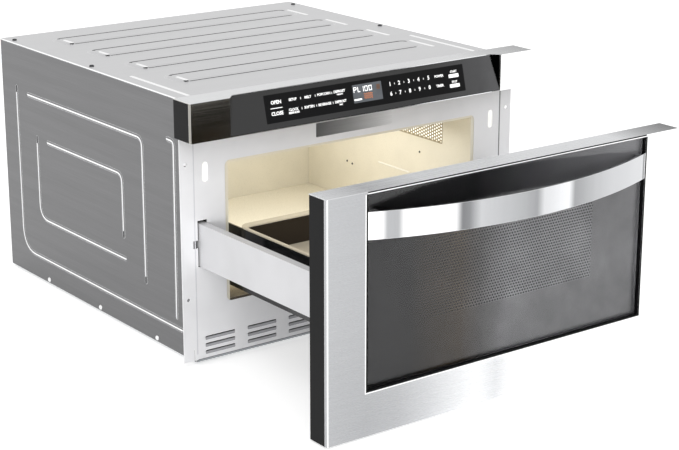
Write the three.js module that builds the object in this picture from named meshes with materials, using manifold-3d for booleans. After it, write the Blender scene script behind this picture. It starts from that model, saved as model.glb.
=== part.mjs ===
// A built-in microwave drawer, drawn with its drawer standing open.
//
// Millimetres, +Z up. Across the front is X, with +X to the right of someone
// facing the appliance, and +Y runs back into the cabinet that it is built into.
// The pieces are drawn about the face of the front frame (y = 0) and the bottom
// edge of the side panels (z = 0). The drawer's pieces are drawn as they stand
// with the drawer shut, and their group is moved forward by the opening. The whole
// group is then moved so that the origin is under the middle of the open appliance,
// on the surface that it stands on.

import * as THREE from 'three';
import Module from 'manifold-3d';
import { mergeVertices } from 'three/addons/utils/BufferGeometryUtils.js';
import { ConvexGeometry } from 'three/addons/geometries/ConvexGeometry.js';

const wasm = await Module();
wasm.setup();

// ---------------------------------------------------------------- driving sizes

// Fits
const seat = 0.3;              // gap between a piece and what it rests on or in
const running = 0.3;           // gap between pieces that slide or turn past each other
const sheet = 1.0;             // cabinet and cavity sheet steel
const railSheet = 1.2;         // slide rails, slide brackets and drawer arms
const flatness = 0.0005;       // faces this near to one plane are one face

// Cabinet body
const bodyWidth = 556.2;
const bodyDepth = 562;
const bodyHeight = 372.9;
const runnerHeight = 4;        // pressed runners that the cabinet stands on
const runnerWidth = 36;
const runnerInset = 46;
const runnerSlope = 3;
const panFlange = 15;
const sideTopFlange = 15;
const worksDepth = 140;        // space behind the cavity for the electrical works

// Drawer front and control panel, one above the other
const faceOverhang = 4.8;      // drawer front beyond the front frame, each side
const drawerOpening = 303.5;   // how far the drawer stands open
const doorGap = 2;             // drawer front to front frame, shut
const doorThickness = 37.2;
const doorBottom = -1.7;
const doorUnderPanel = 6.7;    // gap between the drawer front and the control panel
const skinSheet = 1.0;
const skinReturn = 5.2;        // depth of the stainless skin round the sides
const stileWidth = 62.5;
const bottomRail = 61.2;
const windowRecess = 7;
const glassThickness = 4;
const screenThickness = 0.8;
const ledgeWidth = 12.5;
const ledgeThickness = 3;
const mouldedWall = 3;

// Handle
const handleBow = 47.3;        // how far the strap stands out at its middle
const handleHeight = 36;
const handleBelow = 61.8;      // drawer front's top down to the foot of the handle
const strapThickness = 4;
const strapEdgeRadius = 1.2;
const handleBossWidth = 16;
const handleScrewRadius = 2;

// Control panel
const panelHeight = 54.5;
const panelAbove = 9.1;        // panel's top over the top of the body
const panelDepth = 40;
const panelReturn = 6;
const panelSlope = 13.5;       // how far the top of the glass leans back
const panelWrap = 3.3;         // how far the panel reaches back round the front frame
const recessInset = { bottom: 62.5, front: 62, top: 74.4 };
const panelGlassThickness = 3;
const displayWidth = 56;
const displayHeight = 30;
const displayRise = 14.5;      // display over the foot of the panel

// Front frame
const frameFlange = 20.1;      // front frame beyond each side panel
const frameBottom = 3.4;
const mouthInset = 52.6;       // side panel to the edge of the mouth
const cavityMouthBottom = 80.5;
const mouthBelow = 87.9;       // top of the body down to the mouth
const mouthCorner = 8;
const mouthReveal = 3.5;       // how much cavity flange shows over and under the mouth
const mouthSideReveal = 5.5;
const latchInset = 20.6;       // side panel to the middle of the latch slot
const latchSlotWidth = 9;
const latchSlotAbove = 3;      // latch slot's top over the top of the mouth
const latchSlotHeight = 28;
const flangeHoleReach = 10.6;  // side panel out to the flange holes
const flangeHoleLow = 94.7;
const flangeHoleRadius = 2.6;
const louvreLength = 50;
const louvreHeight = 5.8;
const louvrePitch = 10.5;
const louvreLowest = 12.4;
const louvreRows = 3;
const louvreGroupPitch = 71.1;
const louvreGroups = 7;
const louvreInset = 15.3;      // side panel to the first group
const bladeReach = 3;          // blade bent in from the foot of each air slot
const bladeRise = 2.2;
const louvreCorner = 1.6;
const reliefSlitReach = 2.4;
const reliefSlitTop = 19.7;
const reliefSlitWidth = 1.2;

// Cavity
const weldFlange = 13;
const feedHoleX = 35;
const feedHoleY = 30;
const feedFromRear = 173.3;
const ventRows = 4;
const ventColumns = 9;
const ventHoleRadius = 2.2;
const ventPitchY = 10.5;
const ventPitchZ = 9.5;
const ventFrontY = 73;
const ventBelow = 49.5;        // cavity ceiling down to the lowest perforations

// Drawer arms and slides
const armInset = 9.1;          // side panel to the arm's outer face
const armWidth = 11.8;
const armBottom = 140.5;
const armHeight = 61.5;
const armClearance = 1.2;
const armSlotAbove = 4.4;      // the arm's slot is taller than the arm
const armSlotSide = 2.5;
const armTail = 31.7;          // how far the shut drawer's arms reach behind the cavity
const armTabWidth = 25;
const slideSetback = 22;       // slides shorter than the cavity
const slideFront = 12;
const slideHeight = 45;
const slideTopInset = 2.7;     // slide's top edge below the arm's top edge
const slideSpace = 6.2;        // bracket's web to the arm's inner edge
const bracketFront = 20;
const bracketTail = 8;
const bracketTab = 15;
const bracketAbove = 9;        // bracket above and below the arm
const bracketBelow = 42.5;
const notchDepth = 7.5;
const notchRise = 26.5;
const notchHeight = 11.4;

// Rack and pinion
const gearModule = 2;
const pinionTeeth = 17;
const pinionY = 60;
const gearWidth = 9;
const gearBacklash = 0.3;
const pressureAngle = THREE.MathUtils.degToRad(20);
const shaftRadius = 3;

// Drawer tub
const tubGap = 11;             // cavity wall to the side of the tub
const tubBottom = 97;
const tubTop = 190;
const tubRear = 300.5;
const tubWing = 44.5;          // side walls carried on behind the rear wall
const tubSideWall = 5;
const tubRearWall = 14;
const tubSkin = 1.6;
const tubCorner = 18;
const rimThickness = 2;
const trayTop = 150;
const trayThickness = 4;
const trayLedge = 5;
const tubRibCount = 4;

// Derived levels and planes
const bodyHalf = bodyWidth / 2;
const frameHalf = bodyHalf + frameFlange;
const faceHalf = frameHalf + faceOverhang;
const panelTop = bodyHeight + panelAbove;
const panelBottom = panelTop - panelHeight;
const displayBottom = panelBottom + displayRise;
const doorTop = panelBottom - doorUnderPanel;
const handleBottom = doorTop - handleBelow;
const cavityMouthTop = bodyHeight - mouthBelow;
const latchSlotTop = cavityMouthTop + latchSlotAbove;
const latchSlotBottom = latchSlotTop - latchSlotHeight;
const frameBack = sheet;
const liningFront = frameBack + seat;
const panHalf = bodyHalf - sheet - seat;
const rearPanelFront = bodyDepth - sheet;
const cabinetTopUnder = bodyHeight - sheet;
const wallTop = cabinetTopUnder - seat;
const cavityMouthHalf = bodyHalf - mouthInset;
const cavityHalf = cavityMouthHalf - mouthSideReveal;
const cavityFloorZ = cavityMouthBottom + mouthReveal;
const cavityCeilingZ = cavityMouthTop - mouthReveal;
const ventBottomZ = cavityCeilingZ - ventBelow;
const cavityDepth = bodyDepth - worksDepth;
const cavityRearY = liningFront + cavityDepth;
const feedCentreY = cavityRearY - feedFromRear;
const latchSlotX = bodyHalf - latchInset;
const doorBack = -doorGap;
const doorFront = doorBack - doorThickness;
const doorPanelFront = doorBack - sheet;
const windowHalf = faceHalf - stileWidth;
const windowBottom = doorBottom + bottomRail;
const skinTopUnder = doorTop - skinSheet;
const windowTop = skinTopUnder - seat;
const glassFront = doorFront + windowRecess;
const glassBack = glassFront + glassThickness;
const screenFront = glassBack + seat;
const ledgeFront = screenFront + screenThickness + seat;
const recessHalfBottom = faceHalf - recessInset.bottom;
const recessHalfFront = faceHalf - recessInset.front;
const recessHalfTop = faceHalf - recessInset.top;
const armOuterX = bodyHalf - armInset;
const armInnerX = armOuterX - armWidth;
const armRear = cavityRearY + armTail;
const armTop = armBottom + armHeight;
const slideTop = armTop - slideTopInset;
const slideBottom = slideTop - slideHeight;
const slideRear = slideFront + cavityDepth - slideSetback;
const bracketWebX = armInnerX - slideSpace;
const bracketRear = slideRear + bracketTail;
const pitchRadius = gearModule * pinionTeeth / 2;
const toothPitch = Math.PI * gearModule;
const rackPitchX = armInnerX + gearModule + running;
const pinionX = rackPitchX - pitchRadius;
const gearBottom = armBottom + railSheet + 2;
const tubHalf = cavityHalf - tubGap;
const tubInnerHalf = tubHalf - tubSideWall;
const tubRearInner = tubRear - tubRearWall;
const tubWallTop = tubTop - rimThickness - seat;
const onDoor = doorBack + seat;

// ---------------------------------------------------------------- solids

// Moves each vertex to where a rule sends it. The rule keeps right hands right.
function placed(geometry, rule) {
  const position = geometry.attributes.position;
  for (let i = 0; i < position.count; i += 1) {
    position.setXYZ(i, ...rule(position.getX(i), position.getY(i), position.getZ(i)));
  }
  return geometry;
}

const box = (x0, x1, y0, y1, z0, z1) => placed(new THREE.BoxGeometry(), (x, y, z) =>
  [x > 0 ? x1 : x0, y > 0 ? y1 : y0, z > 0 ? z1 : z0]);

function welded(geometry) {
  const bare = geometry.clone();
  bare.deleteAttribute('normal');
  bare.deleteAttribute('uv');
  return mergeVertices(bare);
}

function toSolid(geometry) {
  const merged = welded(geometry);
  return new wasm.Manifold(new wasm.Mesh({
    numProp: 3,
    vertProperties: Float32Array.from(merged.attributes.position.array),
    triVerts: Uint32Array.from(merged.index.array),
  }));
}

// A solid's surface, with the triangles of each flat face merged as far as they go
function toGeometry(solid) {
  const mesh = solid.asOriginal().simplify(flatness).getMesh();
  const geometry = new THREE.BufferGeometry();
  geometry.setAttribute('position', new THREE.BufferAttribute(mesh.vertProperties, 3));
  geometry.setIndex(new THREE.BufferAttribute(mesh.triVerts, 1));
  return geometry;
}

const join = (...pieces) => toGeometry(pieces.map(toSolid).reduce((a, b) => a.add(b)));

const cut = (base, ...tools) =>
  toGeometry(tools.map(toSolid).reduce((a, b) => a.subtract(b), toSolid(base)));

const mirrored = (geometry) => {
  const copy = welded(geometry).scale(-1, 1, 1);
  const index = copy.index.array;
  for (let i = 0; i < index.length; i += 3) {
    [index[i], index[i + 1]] = [index[i + 1], index[i]];
  }
  return copy;
};

const extruded = (shape, depth, segments, bevel = {}) => new THREE.ExtrudeGeometry(
  shape, { depth, bevelEnabled: false, curveSegments: segments, ...bevel });

// An outline raised from one level to another, with its holes cut right through it
function prism(shape, low, high, segments) {
  const outline = shape.clone();
  const holes = outline.holes;
  outline.holes = [];
  const between = (level0, level1) => (x, y, z) => [x, y, z > 0.5 ? level1 : level0];
  const body = placed(extruded(outline, 1, segments), between(low, high));
  if (holes.length === 0) {
    return body;
  }
  const tool = (hole) => placed(
    extruded(new THREE.Shape(hole.getPoints(segments)), 1, segments), between(low - 1, high + 1));
  return cut(body, ...holes.map(tool));
}

// Z up to Y back, and X across to Z up, for outlines drawn from the front or the side
const standing = (x, y, z) => [x, -z, y];
const sideways = (x, y, z) => [z, x, y];

// A plan outline (x, y) raised from z0 to z1
const fromPlan = (shape, z0, z1, segments = 6) => prism(shape, z0, z1, segments);

// A front outline (x, z) running back from y0 to y1
const fromFront = (shape, y0, y1, segments = 6) =>
  placed(prism(shape, -y1, -y0, segments), standing);

// A side outline (y, z) running across from x0 to x1
const fromSide = (shape, x0, x1, segments = 6) => placed(prism(shape, x0, x1, segments), sideways);

// The smallest convex solid round a set of [x, y, z] points
const hull = (...points) => new ConvexGeometry(points.map((p) => new THREE.Vector3(...p)));

// A turned piece about a vertical axis, from [radius, height] pairs
const turned = (profile, sides = 12) => placed(new THREE.LatheGeometry(
  profile.map(([radius, height]) => new THREE.Vector2(radius, height)), sides), standing);

const rod = (radius, z0, z1, sides = 12) =>
  turned([[0, z0], [radius, z0], [radius, z1], [0, z1]], sides);

// The same rod laid along X or Y
const rodX = (radius, x0, x1, y, z, sides = 12) =>
  placed(rod(radius, x0, x1, sides), sideways).translate(0, y, z);
const rodY = (radius, y0, y1, x, z, sides = 12) =>
  placed(rod(radius, -y1, -y0, sides), standing).translate(x, 0, z);

const polygon = (...points) => new THREE.Shape(points.map(([x, y]) => new THREE.Vector2(x, y)));

function roundedRect(path, x0, x1, y0, y1, radius) {
  path.moveTo(x0 + radius, y0);
  path.lineTo(x1 - radius, y0);
  path.absarc(x1 - radius, y0 + radius, radius, -Math.PI / 2, 0);
  path.lineTo(x1, y1 - radius);
  path.absarc(x1 - radius, y1 - radius, radius, 0, Math.PI / 2);
  path.lineTo(x0 + radius, y1);
  path.absarc(x0 + radius, y1 - radius, radius, Math.PI / 2, Math.PI);
  path.lineTo(x0, y0 + radius);
  path.absarc(x0 + radius, y0 + radius, radius, Math.PI, 1.5 * Math.PI);
  return path;
}

const roundHole = (x, y, radius, sides = 12) => new THREE.Path(
  Array.from({ length: sides }, (_, i) => new THREE.Vector2(
    x + radius * Math.cos(i * 2 * Math.PI / sides), y + radius * Math.sin(i * 2 * Math.PI / sides))));

// A slot with rounded ends
const slotHole = (x0, x1, y0, y1, radius) =>
  new THREE.Path(roundedRect(new THREE.Path(), x0, x1, y0, y1, radius).getPoints(1));

const rectHole = (x0, x1, y0, y1) => new THREE.Path(
  [[x0, y0], [x1, y0], [x1, y1], [x0, y1]].map(([x, y]) => new THREE.Vector2(x, y)));

// The outline of a pressed bead of the given width along a line of points
function beadOutline(points, width) {
  const half = width / 2;
  const side = (sign) => points.map((point, i) => {
    const before = points[Math.max(i - 1, 0)];
    const after = points[Math.min(i + 1, points.length - 1)];
    const along = after.clone().sub(before).normalize();
    return new THREE.Vector2(-along.y, along.x).multiplyScalar(sign * half).add(point);
  });
  const nose = (at, from) => at.clone().sub(from).normalize().multiplyScalar(half).add(at);
  const start = nose(points[0], points[1]);
  const end = nose(points.at(-1), points.at(-2));
  return new THREE.Shape([...side(-1), end, ...side(1).reverse(), start]);
}

// A raised form with sloping sides, its base on z = 0
const raised = (outline, height, slope, segments = 4) => extruded(outline, 0.1, segments, {
  bevelEnabled: true, bevelThickness: height, bevelSize: slope, bevelOffset: -slope, bevelSegments: 1,
});

// ---------------------------------------------------------------- materials

const finish = (color, roughness, metalness) => ({ color, roughness, metalness });
const finishes = {
  bodySteel: finish(0x8a8a8a, 0.42, 0.9),
  coverSteel: finish(0xcdcdcd, 0.4, 0.85),
  whitePaint: finish(0xdededf, 0.45, 0.0),
  enamel: finish(0xe3d8bf, 0.3, 0.0),
  blackEnamel: finish(0x1c1c1e, 0.3, 0.0),
  stainless: finish(0xc6c8ca, 0.28, 0.95),
  blackPlastic: finish(0x242426, 0.35, 0.0),
  glossBlack: finish(0x17171a, 0.12, 0.0),
  tintedGlass: finish(0x46474a, 0.06, 0.0),
  galvanised: finish(0xb4b8ba, 0.45, 0.9),
  ceramic: finish(0xe9dfc9, 0.2, 0.0),
  copper: finish(0x9c5a34, 0.4, 0.8),
  board: finish(0x2f6b3d, 0.6, 0.0),
  whitePlastic: finish(0xe4e2dc, 0.5, 0.0),
  nylon: finish(0xeeeadd, 0.45, 0.0),
};

function mesh(name, geometry, look) {
  const part = new THREE.Mesh(geometry, new THREE.MeshStandardMaterial({ ...finishes[look] }));
  part.name = name;
  return part;
}

// ---------------------------------------------------------------- cabinet shell

const beadWidth = 4;
const beadSlope = 1.5;
const beadHeight = 0.9;

// A bead that runs down or along one leg, round a corner and along the next
function corneredBead(start, corner, end, radius, segments = 5) {
  const toStart = start.clone().sub(corner).normalize().multiplyScalar(radius);
  const toEnd = end.clone().sub(corner).normalize().multiplyScalar(radius);
  const bend = new THREE.QuadraticBezierCurve(
    corner.clone().add(toStart), corner, corner.clone().add(toEnd));
  return [start, ...bend.getPoints(segments), end];
}

// The beads pressed in each side panel, as [start, corner, end, radius] in (y, z)
const at = (y, z) => new THREE.Vector2(y, z);
const upperBead = bodyHeight - 75.4;
const sideBeads = [
  [at(bodyDepth - 48, upperBead + 2.5), at(bodyDepth - 48, 37.5), at(37, 37.5), 40],
  [at(bodyDepth - 86, upperBead), at(132, upperBead), at(132, 87), 14],
  [at(bodyDepth - 110, 230), at(bodyDepth - 110, 104), at(190, 104), 25],
  [at(bodyDepth - 145, 232), at(192, 232), at(192, 140), 14],
  [at(58, upperBead + 14.5), at(47, upperBead + 2.5), at(47, 56), 6],
];

const screwHoleRadius = 2.4;
const sideScrewsY = [105, bodyDepth / 2 - 11, bodyDepth - 129];
const sideScrewZ = 6;
const topScrewsY = [20, bodyDepth / 2 + 7, bodyDepth - 28];
const topScrewX = bodyHalf - 10.6;

function sidePanel() {
  const outer = bodyHalf;
  const inner = bodyHalf - sheet;
  const web = box(inner, outer, liningFront, bodyDepth, 0, wallTop);
  const flange = box(inner - sideTopFlange, inner, liningFront, rearPanelFront - seat,
    wallTop - sheet, wallTop);
  const beads = sideBeads.map(([start, corner, end, radius]) => placed(raised(
    beadOutline(corneredBead(start, corner, end, radius), beadWidth + 2 * beadSlope),
    beadHeight, beadSlope).translate(0, 0, outer), sideways));
  const holes = [
    ...sideScrewsY.map((y) => rodX(screwHoleRadius, inner - 1, outer + 1, y, sideScrewZ, 8)),
    ...topScrewsY.map((y) => rod(screwHoleRadius, wallTop - 2 * sheet, wallTop + sheet, 8)
      .translate(topScrewX, y, 0)),
  ];
  return cut(join(web, flange, ...beads), ...holes);
}

// A flat-topped pressed form with sloping sides, from its outline at the sheet
function pressing([x0, x1, y0, y1], base, height, slope, corner) {
  const ring = (inset, z) => roundedRect(new THREE.Shape(), x0 + inset, x1 - inset,
    y0 + inset, y1 - inset, corner - inset).getPoints(2).map((p) => [p.x, p.y, z]);
  const root = base - Math.sign(height) * sheet / 2;
  return hull(...ring(0, root), ...ring(0, base), ...ring(slope, base + height));
}

const plateauHalf = bodyHalf - 57.1;
const plateauHeight = 1.6;
const plateauSlope = 4;
const plateauCorner = 15;
const plateauFront = 117.5;
const plateauWidth = 50;
const plateauPitch = 111.4;
const plateauCount = Math.round((bodyDepth - plateauFront) / plateauPitch);
const plateauStarts = Array.from({ length: plateauCount }, (_, i) => plateauFront + i * plateauPitch);
const edgeBeadX = bodyHalf - 22.1;

function topCover() {
  const plate = box(-bodyHalf, bodyHalf, liningFront, bodyDepth, cabinetTopUnder, bodyHeight);
  const plateau = (y, z) => pressing([-plateauHalf, plateauHalf, y, y + plateauWidth], z,
    plateauHeight, plateauSlope, plateauCorner);
  const edgeBead = raised(beadOutline([at(edgeBeadX, 43), at(edgeBeadX, 192)],
    beadWidth + 2 * beadSlope), beadHeight, beadSlope).translate(0, 0, bodyHeight);
  const pressed = join(plate, edgeBead, mirrored(edgeBead),
    ...plateauStarts.map((y) => plateau(y, bodyHeight)));
  const holes = topScrewsY.flatMap((y) => [-1, 1].map((side) =>
    rod(screwHoleRadius, cabinetTopUnder - 1, bodyHeight + 1, 8).translate(side * topScrewX, y, 0)));
  return cut(pressed, ...plateauStarts.map((y) => plateau(y, cabinetTopUnder)), ...holes);
}

const runnerRear = bodyDepth - runnerInset;
const intakeY = bodyDepth - 182;
const intakeRows = 8;
const intakePitch = 12;
const intakeSlot = 5;
const intakeColumns = [[-196, -146], [-136, -86]];
const panCorner = 3;           // pan's end flanges stop short of its side flanges

function basePan() {
  const half = panHalf;
  const rear = rearPanelFront - seat;
  const rise = panFlange;
  const plate = new THREE.Shape();
  plate.moveTo(-half, liningFront);
  plate.lineTo(half, liningFront);
  plate.lineTo(half, rear);
  plate.lineTo(-half, rear);
  for (let i = 0; i < intakeRows; i += 1) {
    const y = intakeY + i * intakePitch;
    plate.holes.push(...intakeColumns.map(([x0, x1]) => rectHole(x0, x1, y, y + intakeSlot)));
  }
  const sideFlange = cut(box(half - sheet, half, liningFront, rear - rise, 0, sheet + rise),
    ...sideScrewsY.map((y) => rodX(screwHoleRadius - 0.5, half - 5, half + 5, y, sideScrewZ, 8)));
  const inside = bodyHalf - runnerInset;
  const runner = (z) => pressing([inside - runnerWidth, inside, runnerInset, runnerRear], z,
    -runnerHeight, runnerSlope, runnerWidth / 2 - 2);
  const runners = [runner(0), mirrored(runner(0))];
  const hollows = [runner(sheet), mirrored(runner(sheet))];
  return cut(join(
    fromPlan(plate, 0, sheet, 4), ...runners,
    sideFlange, mirrored(sideFlange),
    box(-half + panCorner, half - panCorner, rear - sheet, rear, 0, sheet + rise),
    box(-half + panCorner, half - panCorner, liningFront, liningFront + sheet, 0,
      louvreLowest - louvreHeight / 2 - 2 * seat),
  ), ...hollows);
}

const glandRadius = 9;
const glandPlace = { x: 205, z: 60 };
const fanCentre = { x: -150, z: 110 };
const fanBore = 50;
const fanFrame = 56;
const fanSlotPitch = 11;
const fanSlotHeight = 5;
const outletSlots = { count: 14, x: 40, pitch: 14, width: 5, height: 55, below: 26.6 };
const rearFlange = { depth: 12, low: 20, below: 12 };

function rearPanel() {
  const outline = polygon([-panHalf, seat], [panHalf, seat], [panHalf, wallTop], [-panHalf, wallTop]);
  outline.holes.push(roundHole(glandPlace.x, glandPlace.z, glandRadius + seat, 16));
  // Air slots over the fan, in rows that follow its round mouth
  for (let row = -4; row <= 4; row += 1) {
    const z = fanCentre.z + row * fanSlotPitch;
    const reach = Math.sqrt((fanBore - 2) ** 2 - (row * fanSlotPitch) ** 2);
    const [low, high] = [z - fanSlotHeight / 2, z + fanSlotHeight / 2];
    outline.holes.push(rectHole(fanCentre.x - reach, fanCentre.x - 3, low, high));
    outline.holes.push(rectHole(fanCentre.x + 3, fanCentre.x + reach, low, high));
  }
  // Outlet slots high on the other side
  const outletTop = wallTop - outletSlots.below;
  for (let column = 0; column < outletSlots.count; column += 1) {
    const x = outletSlots.x + column * outletSlots.pitch;
    outline.holes.push(rectHole(x, x + outletSlots.width, outletTop - outletSlots.height, outletTop));
  }
  const flange = box(panHalf - sheet, panHalf, rearPanelFront - rearFlange.depth,
    rearPanelFront + sheet / 2, rearFlange.low, wallTop - rearFlange.below);
  return join(fromFront(outline, rearPanelFront, bodyDepth, 6), flange, mirrored(flange));
}

// A blade bent in and up from the foot of an air slot, between two x positions
function louvreBlade(x0, x1, foot) {
  const tip = frameBack + bladeReach;
  const profile = polygon([0.2, foot - 0.5], [frameBack - 0.2, foot - 0.5],
    [tip, foot + bladeRise - 0.7], [tip - 0.5, foot + bladeRise], [0.2, foot + 0.2]);
  return fromSide(profile, x0, x1);
}

function frontFrame() {
  const slit = reliefSlitWidth / 2;
  const sx = bodyHalf + reliefSlitReach;
  const holeX = bodyHalf + flangeHoleReach;
  const outline = polygon(
    [-frameHalf, frameBottom], [-sx - slit, frameBottom], [-sx - slit, reliefSlitTop],
    [-sx + slit, reliefSlitTop], [-sx + slit, frameBottom], [sx - slit, frameBottom],
    [sx - slit, reliefSlitTop], [sx + slit, reliefSlitTop], [sx + slit, frameBottom],
    [frameHalf, frameBottom], [frameHalf, wallTop], [-frameHalf, wallTop],
  );
  outline.holes.push(roundedRect(new THREE.Path(), -cavityMouthHalf, cavityMouthHalf,
    cavityMouthBottom, cavityMouthTop, mouthCorner));
  for (const side of [-1, 1]) {
    for (const z of [flangeHoleLow, latchSlotTop]) {
      outline.holes.push(roundHole(side * holeX, z, flangeHoleRadius));
    }
    const slotHalf = latchSlotWidth / 2;
    outline.holes.push(slotHole(side * latchSlotX - slotHalf, side * latchSlotX + slotHalf,
      latchSlotBottom, latchSlotTop, slotHalf - 0.5));
    const inner = armInnerX - armClearance;
    const outer = armOuterX + armSlotSide;
    const bottom = armBottom - armClearance;
    const top = armTop + armSlotAbove;
    const notchBottom = armBottom + notchRise;
    const notchTop = notchBottom + notchHeight;
    outline.holes.push(new THREE.Path([
      [inner, bottom], [outer, bottom], [outer, notchBottom], [outer + notchDepth, notchBottom],
      [outer + notchDepth, notchTop], [outer, notchTop], [outer, top], [inner, top],
    ].map(([x, z]) => new THREE.Vector2(side * x, z))));
  }
  // Air slots across the foot of the frame
  const blades = [];
  for (let group = 0; group < louvreGroups; group += 1) {
    const x0 = louvreInset - bodyHalf + group * louvreGroupPitch;
    const x1 = x0 + louvreLength;
    for (let row = 0; row < louvreRows; row += 1) {
      const foot = louvreLowest + row * louvrePitch - louvreHeight / 2;
      outline.holes.push(slotHole(x0, x1, foot, foot + louvreHeight, louvreCorner));
      blades.push(louvreBlade(x0 + louvreCorner, x1 - louvreCorner, foot));
    }
  }
  // Way through for the wiring of the control panel
  outline.holes.push(rectHole(-70, 70, displayBottom - 4, displayBottom + displayHeight - 6));
  return join(fromFront(outline, 0, frameBack, 3), ...blades);
}

// ---------------------------------------------------------------- cavity

const flangeLow = cavityFloorZ - sheet - weldFlange;
const flangeHigh = cavityCeilingZ + sheet + weldFlange;
const betweenWalls = cavityHalf - seat;

// The perforations that the oven lamp shines through, in staggered rows
function lampVent() {
  const holes = [];
  for (let row = 0; row < ventRows; row += 1) {
    const shift = (row % 2) * ventPitchY / 2;
    for (let column = 0; column < ventColumns; column += 1) {
      holes.push(rodX(ventHoleRadius, cavityHalf - 1, cavityHalf + sheet + 1,
        ventFrontY + shift + column * ventPitchY, ventBottomZ + row * ventPitchZ, 6));
    }
  }
  return holes;
}

function cavityWall(holes) {
  const plan = polygon(
    [cavityHalf, liningFront], [cavityHalf + weldFlange, liningFront],
    [cavityHalf + weldFlange, liningFront + sheet], [cavityHalf + sheet, liningFront + sheet],
    [cavityHalf + sheet, cavityRearY - seat], [cavityHalf, cavityRearY - seat],
  );
  return cut(fromPlan(plan, flangeLow, flangeHigh), ...holes);
}

function cavityFloor() {
  const profile = polygon(
    [liningFront, flangeLow], [liningFront + sheet, flangeLow],
    [liningFront + sheet, cavityFloorZ - sheet], [cavityRearY - seat, cavityFloorZ - sheet],
    [cavityRearY - seat, cavityFloorZ], [liningFront, cavityFloorZ],
  );
  return fromSide(profile, -betweenWalls, betweenWalls);
}

function cavityCeiling() {
  const top = cavityCeilingZ + sheet;
  const profile = polygon(
    [liningFront, cavityCeilingZ], [cavityRearY - seat, cavityCeilingZ], [cavityRearY - seat, top],
    [liningFront + sheet, top], [liningFront + sheet, flangeHigh], [liningFront, flangeHigh],
  );
  const feedHole = box(-feedHoleX, feedHoleX, feedCentreY - feedHoleY, feedCentreY + feedHoleY,
    cavityCeilingZ - 1, top + 1);
  return cut(fromSide(profile, -betweenWalls, betweenWalls), feedHole);
}

function cavityRearWall() {
  const half = cavityHalf + weldFlange;
  return box(-half, half, cavityRearY, cavityRearY + sheet, flangeLow, cavityCeilingZ + sheet);
}

// ---------------------------------------------------------------- slides and drive

const tabX = cavityHalf + sheet + seat;
const bracketBottom = armBottom - bracketBelow;
const bracketTop = armTop + bracketAbove;
const bracketLip = 12;
const gearRoom = 2;            // clear space over and under the gear
const pinionWindow = {
  reach: pitchRadius + gearModule + 3,
  low: gearBottom - gearRoom,
  high: gearBottom + gearWidth + gearRoom,
};
const bearingTab = { half: 9, reach: 8, z: pinionWindow.high + 0.5 };

function slideBracket(withDrive) {
  const t = railSheet;
  const web = bracketWebX;
  const profile = polygon(
    [tabX, bracketTop + bracketTab], [tabX, bracketTop - t], [web, bracketTop - t],
    [web, bracketBottom + t], [tabX, bracketBottom + t], [tabX, bracketBottom - bracketLip],
    [tabX + t, bracketBottom - bracketLip], [tabX + t, bracketBottom], [web + t, bracketBottom],
    [web + t, bracketTop], [tabX + t, bracketTop], [tabX + t, bracketTop + bracketTab],
  );
  const hat = fromFront(profile, bracketFront, bracketRear);
  if (!withDrive) {
    return hat;
  }
  const { reach, low, high } = pinionWindow;
  const { half, reach: tabReach, z } = bearingTab;
  const tab = box(pinionX - tabReach, web + t / 2, pinionY - half, pinionY + half, z, z + t);
  return cut(join(hat, tab),
    box(web - 1, web + t + 1, pinionY - reach, pinionY + reach, low, high),
    rod(shaftRadius + running, z - 1, z + t + 1).translate(pinionX, pinionY, 0),
    rod(shaftRadius + 2, bracketBottom - 1, bracketBottom + t + 1).translate(pinionX, pinionY, 0));
}

// A C rail along Y: its web at x0, its legs reaching to x1, between z0 and z1
function railChannel(x0, x1, z0, z1, y0, y1) {
  const t = railSheet;
  const inward = x1 > x0 ? t : -t;
  const profile = polygon(
    [x0, z0], [x1, z0], [x1, z0 + t], [x0 + inward, z0 + t],
    [x0 + inward, z1 - t], [x1, z1 - t], [x1, z1], [x0, z1],
  );
  return fromFront(profile, y0, y1);
}

const nest = railSheet + running;
const fixedRailX = bracketWebX + railSheet + seat;
const fixedRailWidth = 11;
const middleRailWidth = 7;
const innerRailX = armOuterX - railSheet - seat;
const innerRailWidth = 8.3;
const armTabInset = 5;

const fixedRail = () => railChannel(fixedRailX, fixedRailX + fixedRailWidth,
  slideBottom, slideTop, slideFront, slideRear);
const middleRail = () => railChannel(armInnerX, armInnerX + middleRailWidth,
  slideBottom + nest, slideTop - nest, slideFront, slideRear);
const innerRail = () => railChannel(innerRailX, innerRailX - innerRailWidth,
  slideBottom + 2 * nest, slideTop - 2 * nest, slideFront, slideRear);

function drawerArm() {
  const channel = railChannel(armOuterX, armInnerX, armBottom, armTop, onDoor, armRear);
  const tab = box(armOuterX - armTabWidth, armOuterX - railSheet / 2, onDoor, onDoor + sheet,
    armBottom + armTabInset, armTop - armTabInset);
  return join(channel, tab);
}

function driveRack() {
  const tip = rackPitchX - gearModule;
  const root = rackPitchX + 1.25 * gearModule;
  const back = armOuterX - railSheet - seat;
  const halfAtPitch = toothPitch / 4 - gearBacklash / 4;
  const halfTip = halfAtPitch - gearModule * Math.tan(pressureAngle);
  const halfRoot = halfAtPitch + 1.25 * gearModule * Math.tan(pressureAngle);
  const centre = pinionY + drawerOpening;
  const teethBack = 3;
  const teethFront = Math.ceil(drawerOpening / toothPitch) + 3;
  const rear = centre + (teethBack + 0.5) * toothPitch;
  const front = centre - (teethFront + 0.5) * toothPitch;
  const shape = new THREE.Shape();
  shape.moveTo(back, rear);
  shape.lineTo(root, rear);
  for (let tooth = teethBack; tooth >= -teethFront; tooth -= 1) {
    const y = centre + tooth * toothPitch;
    shape.lineTo(root, y + halfRoot);
    shape.lineTo(tip, y + halfTip);
    shape.lineTo(tip, y - halfTip);
    shape.lineTo(root, y - halfRoot);
  }
  shape.lineTo(root, front);
  shape.lineTo(back, front);
  return fromPlan(shape, gearBottom, gearBottom + gearWidth);
}

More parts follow.
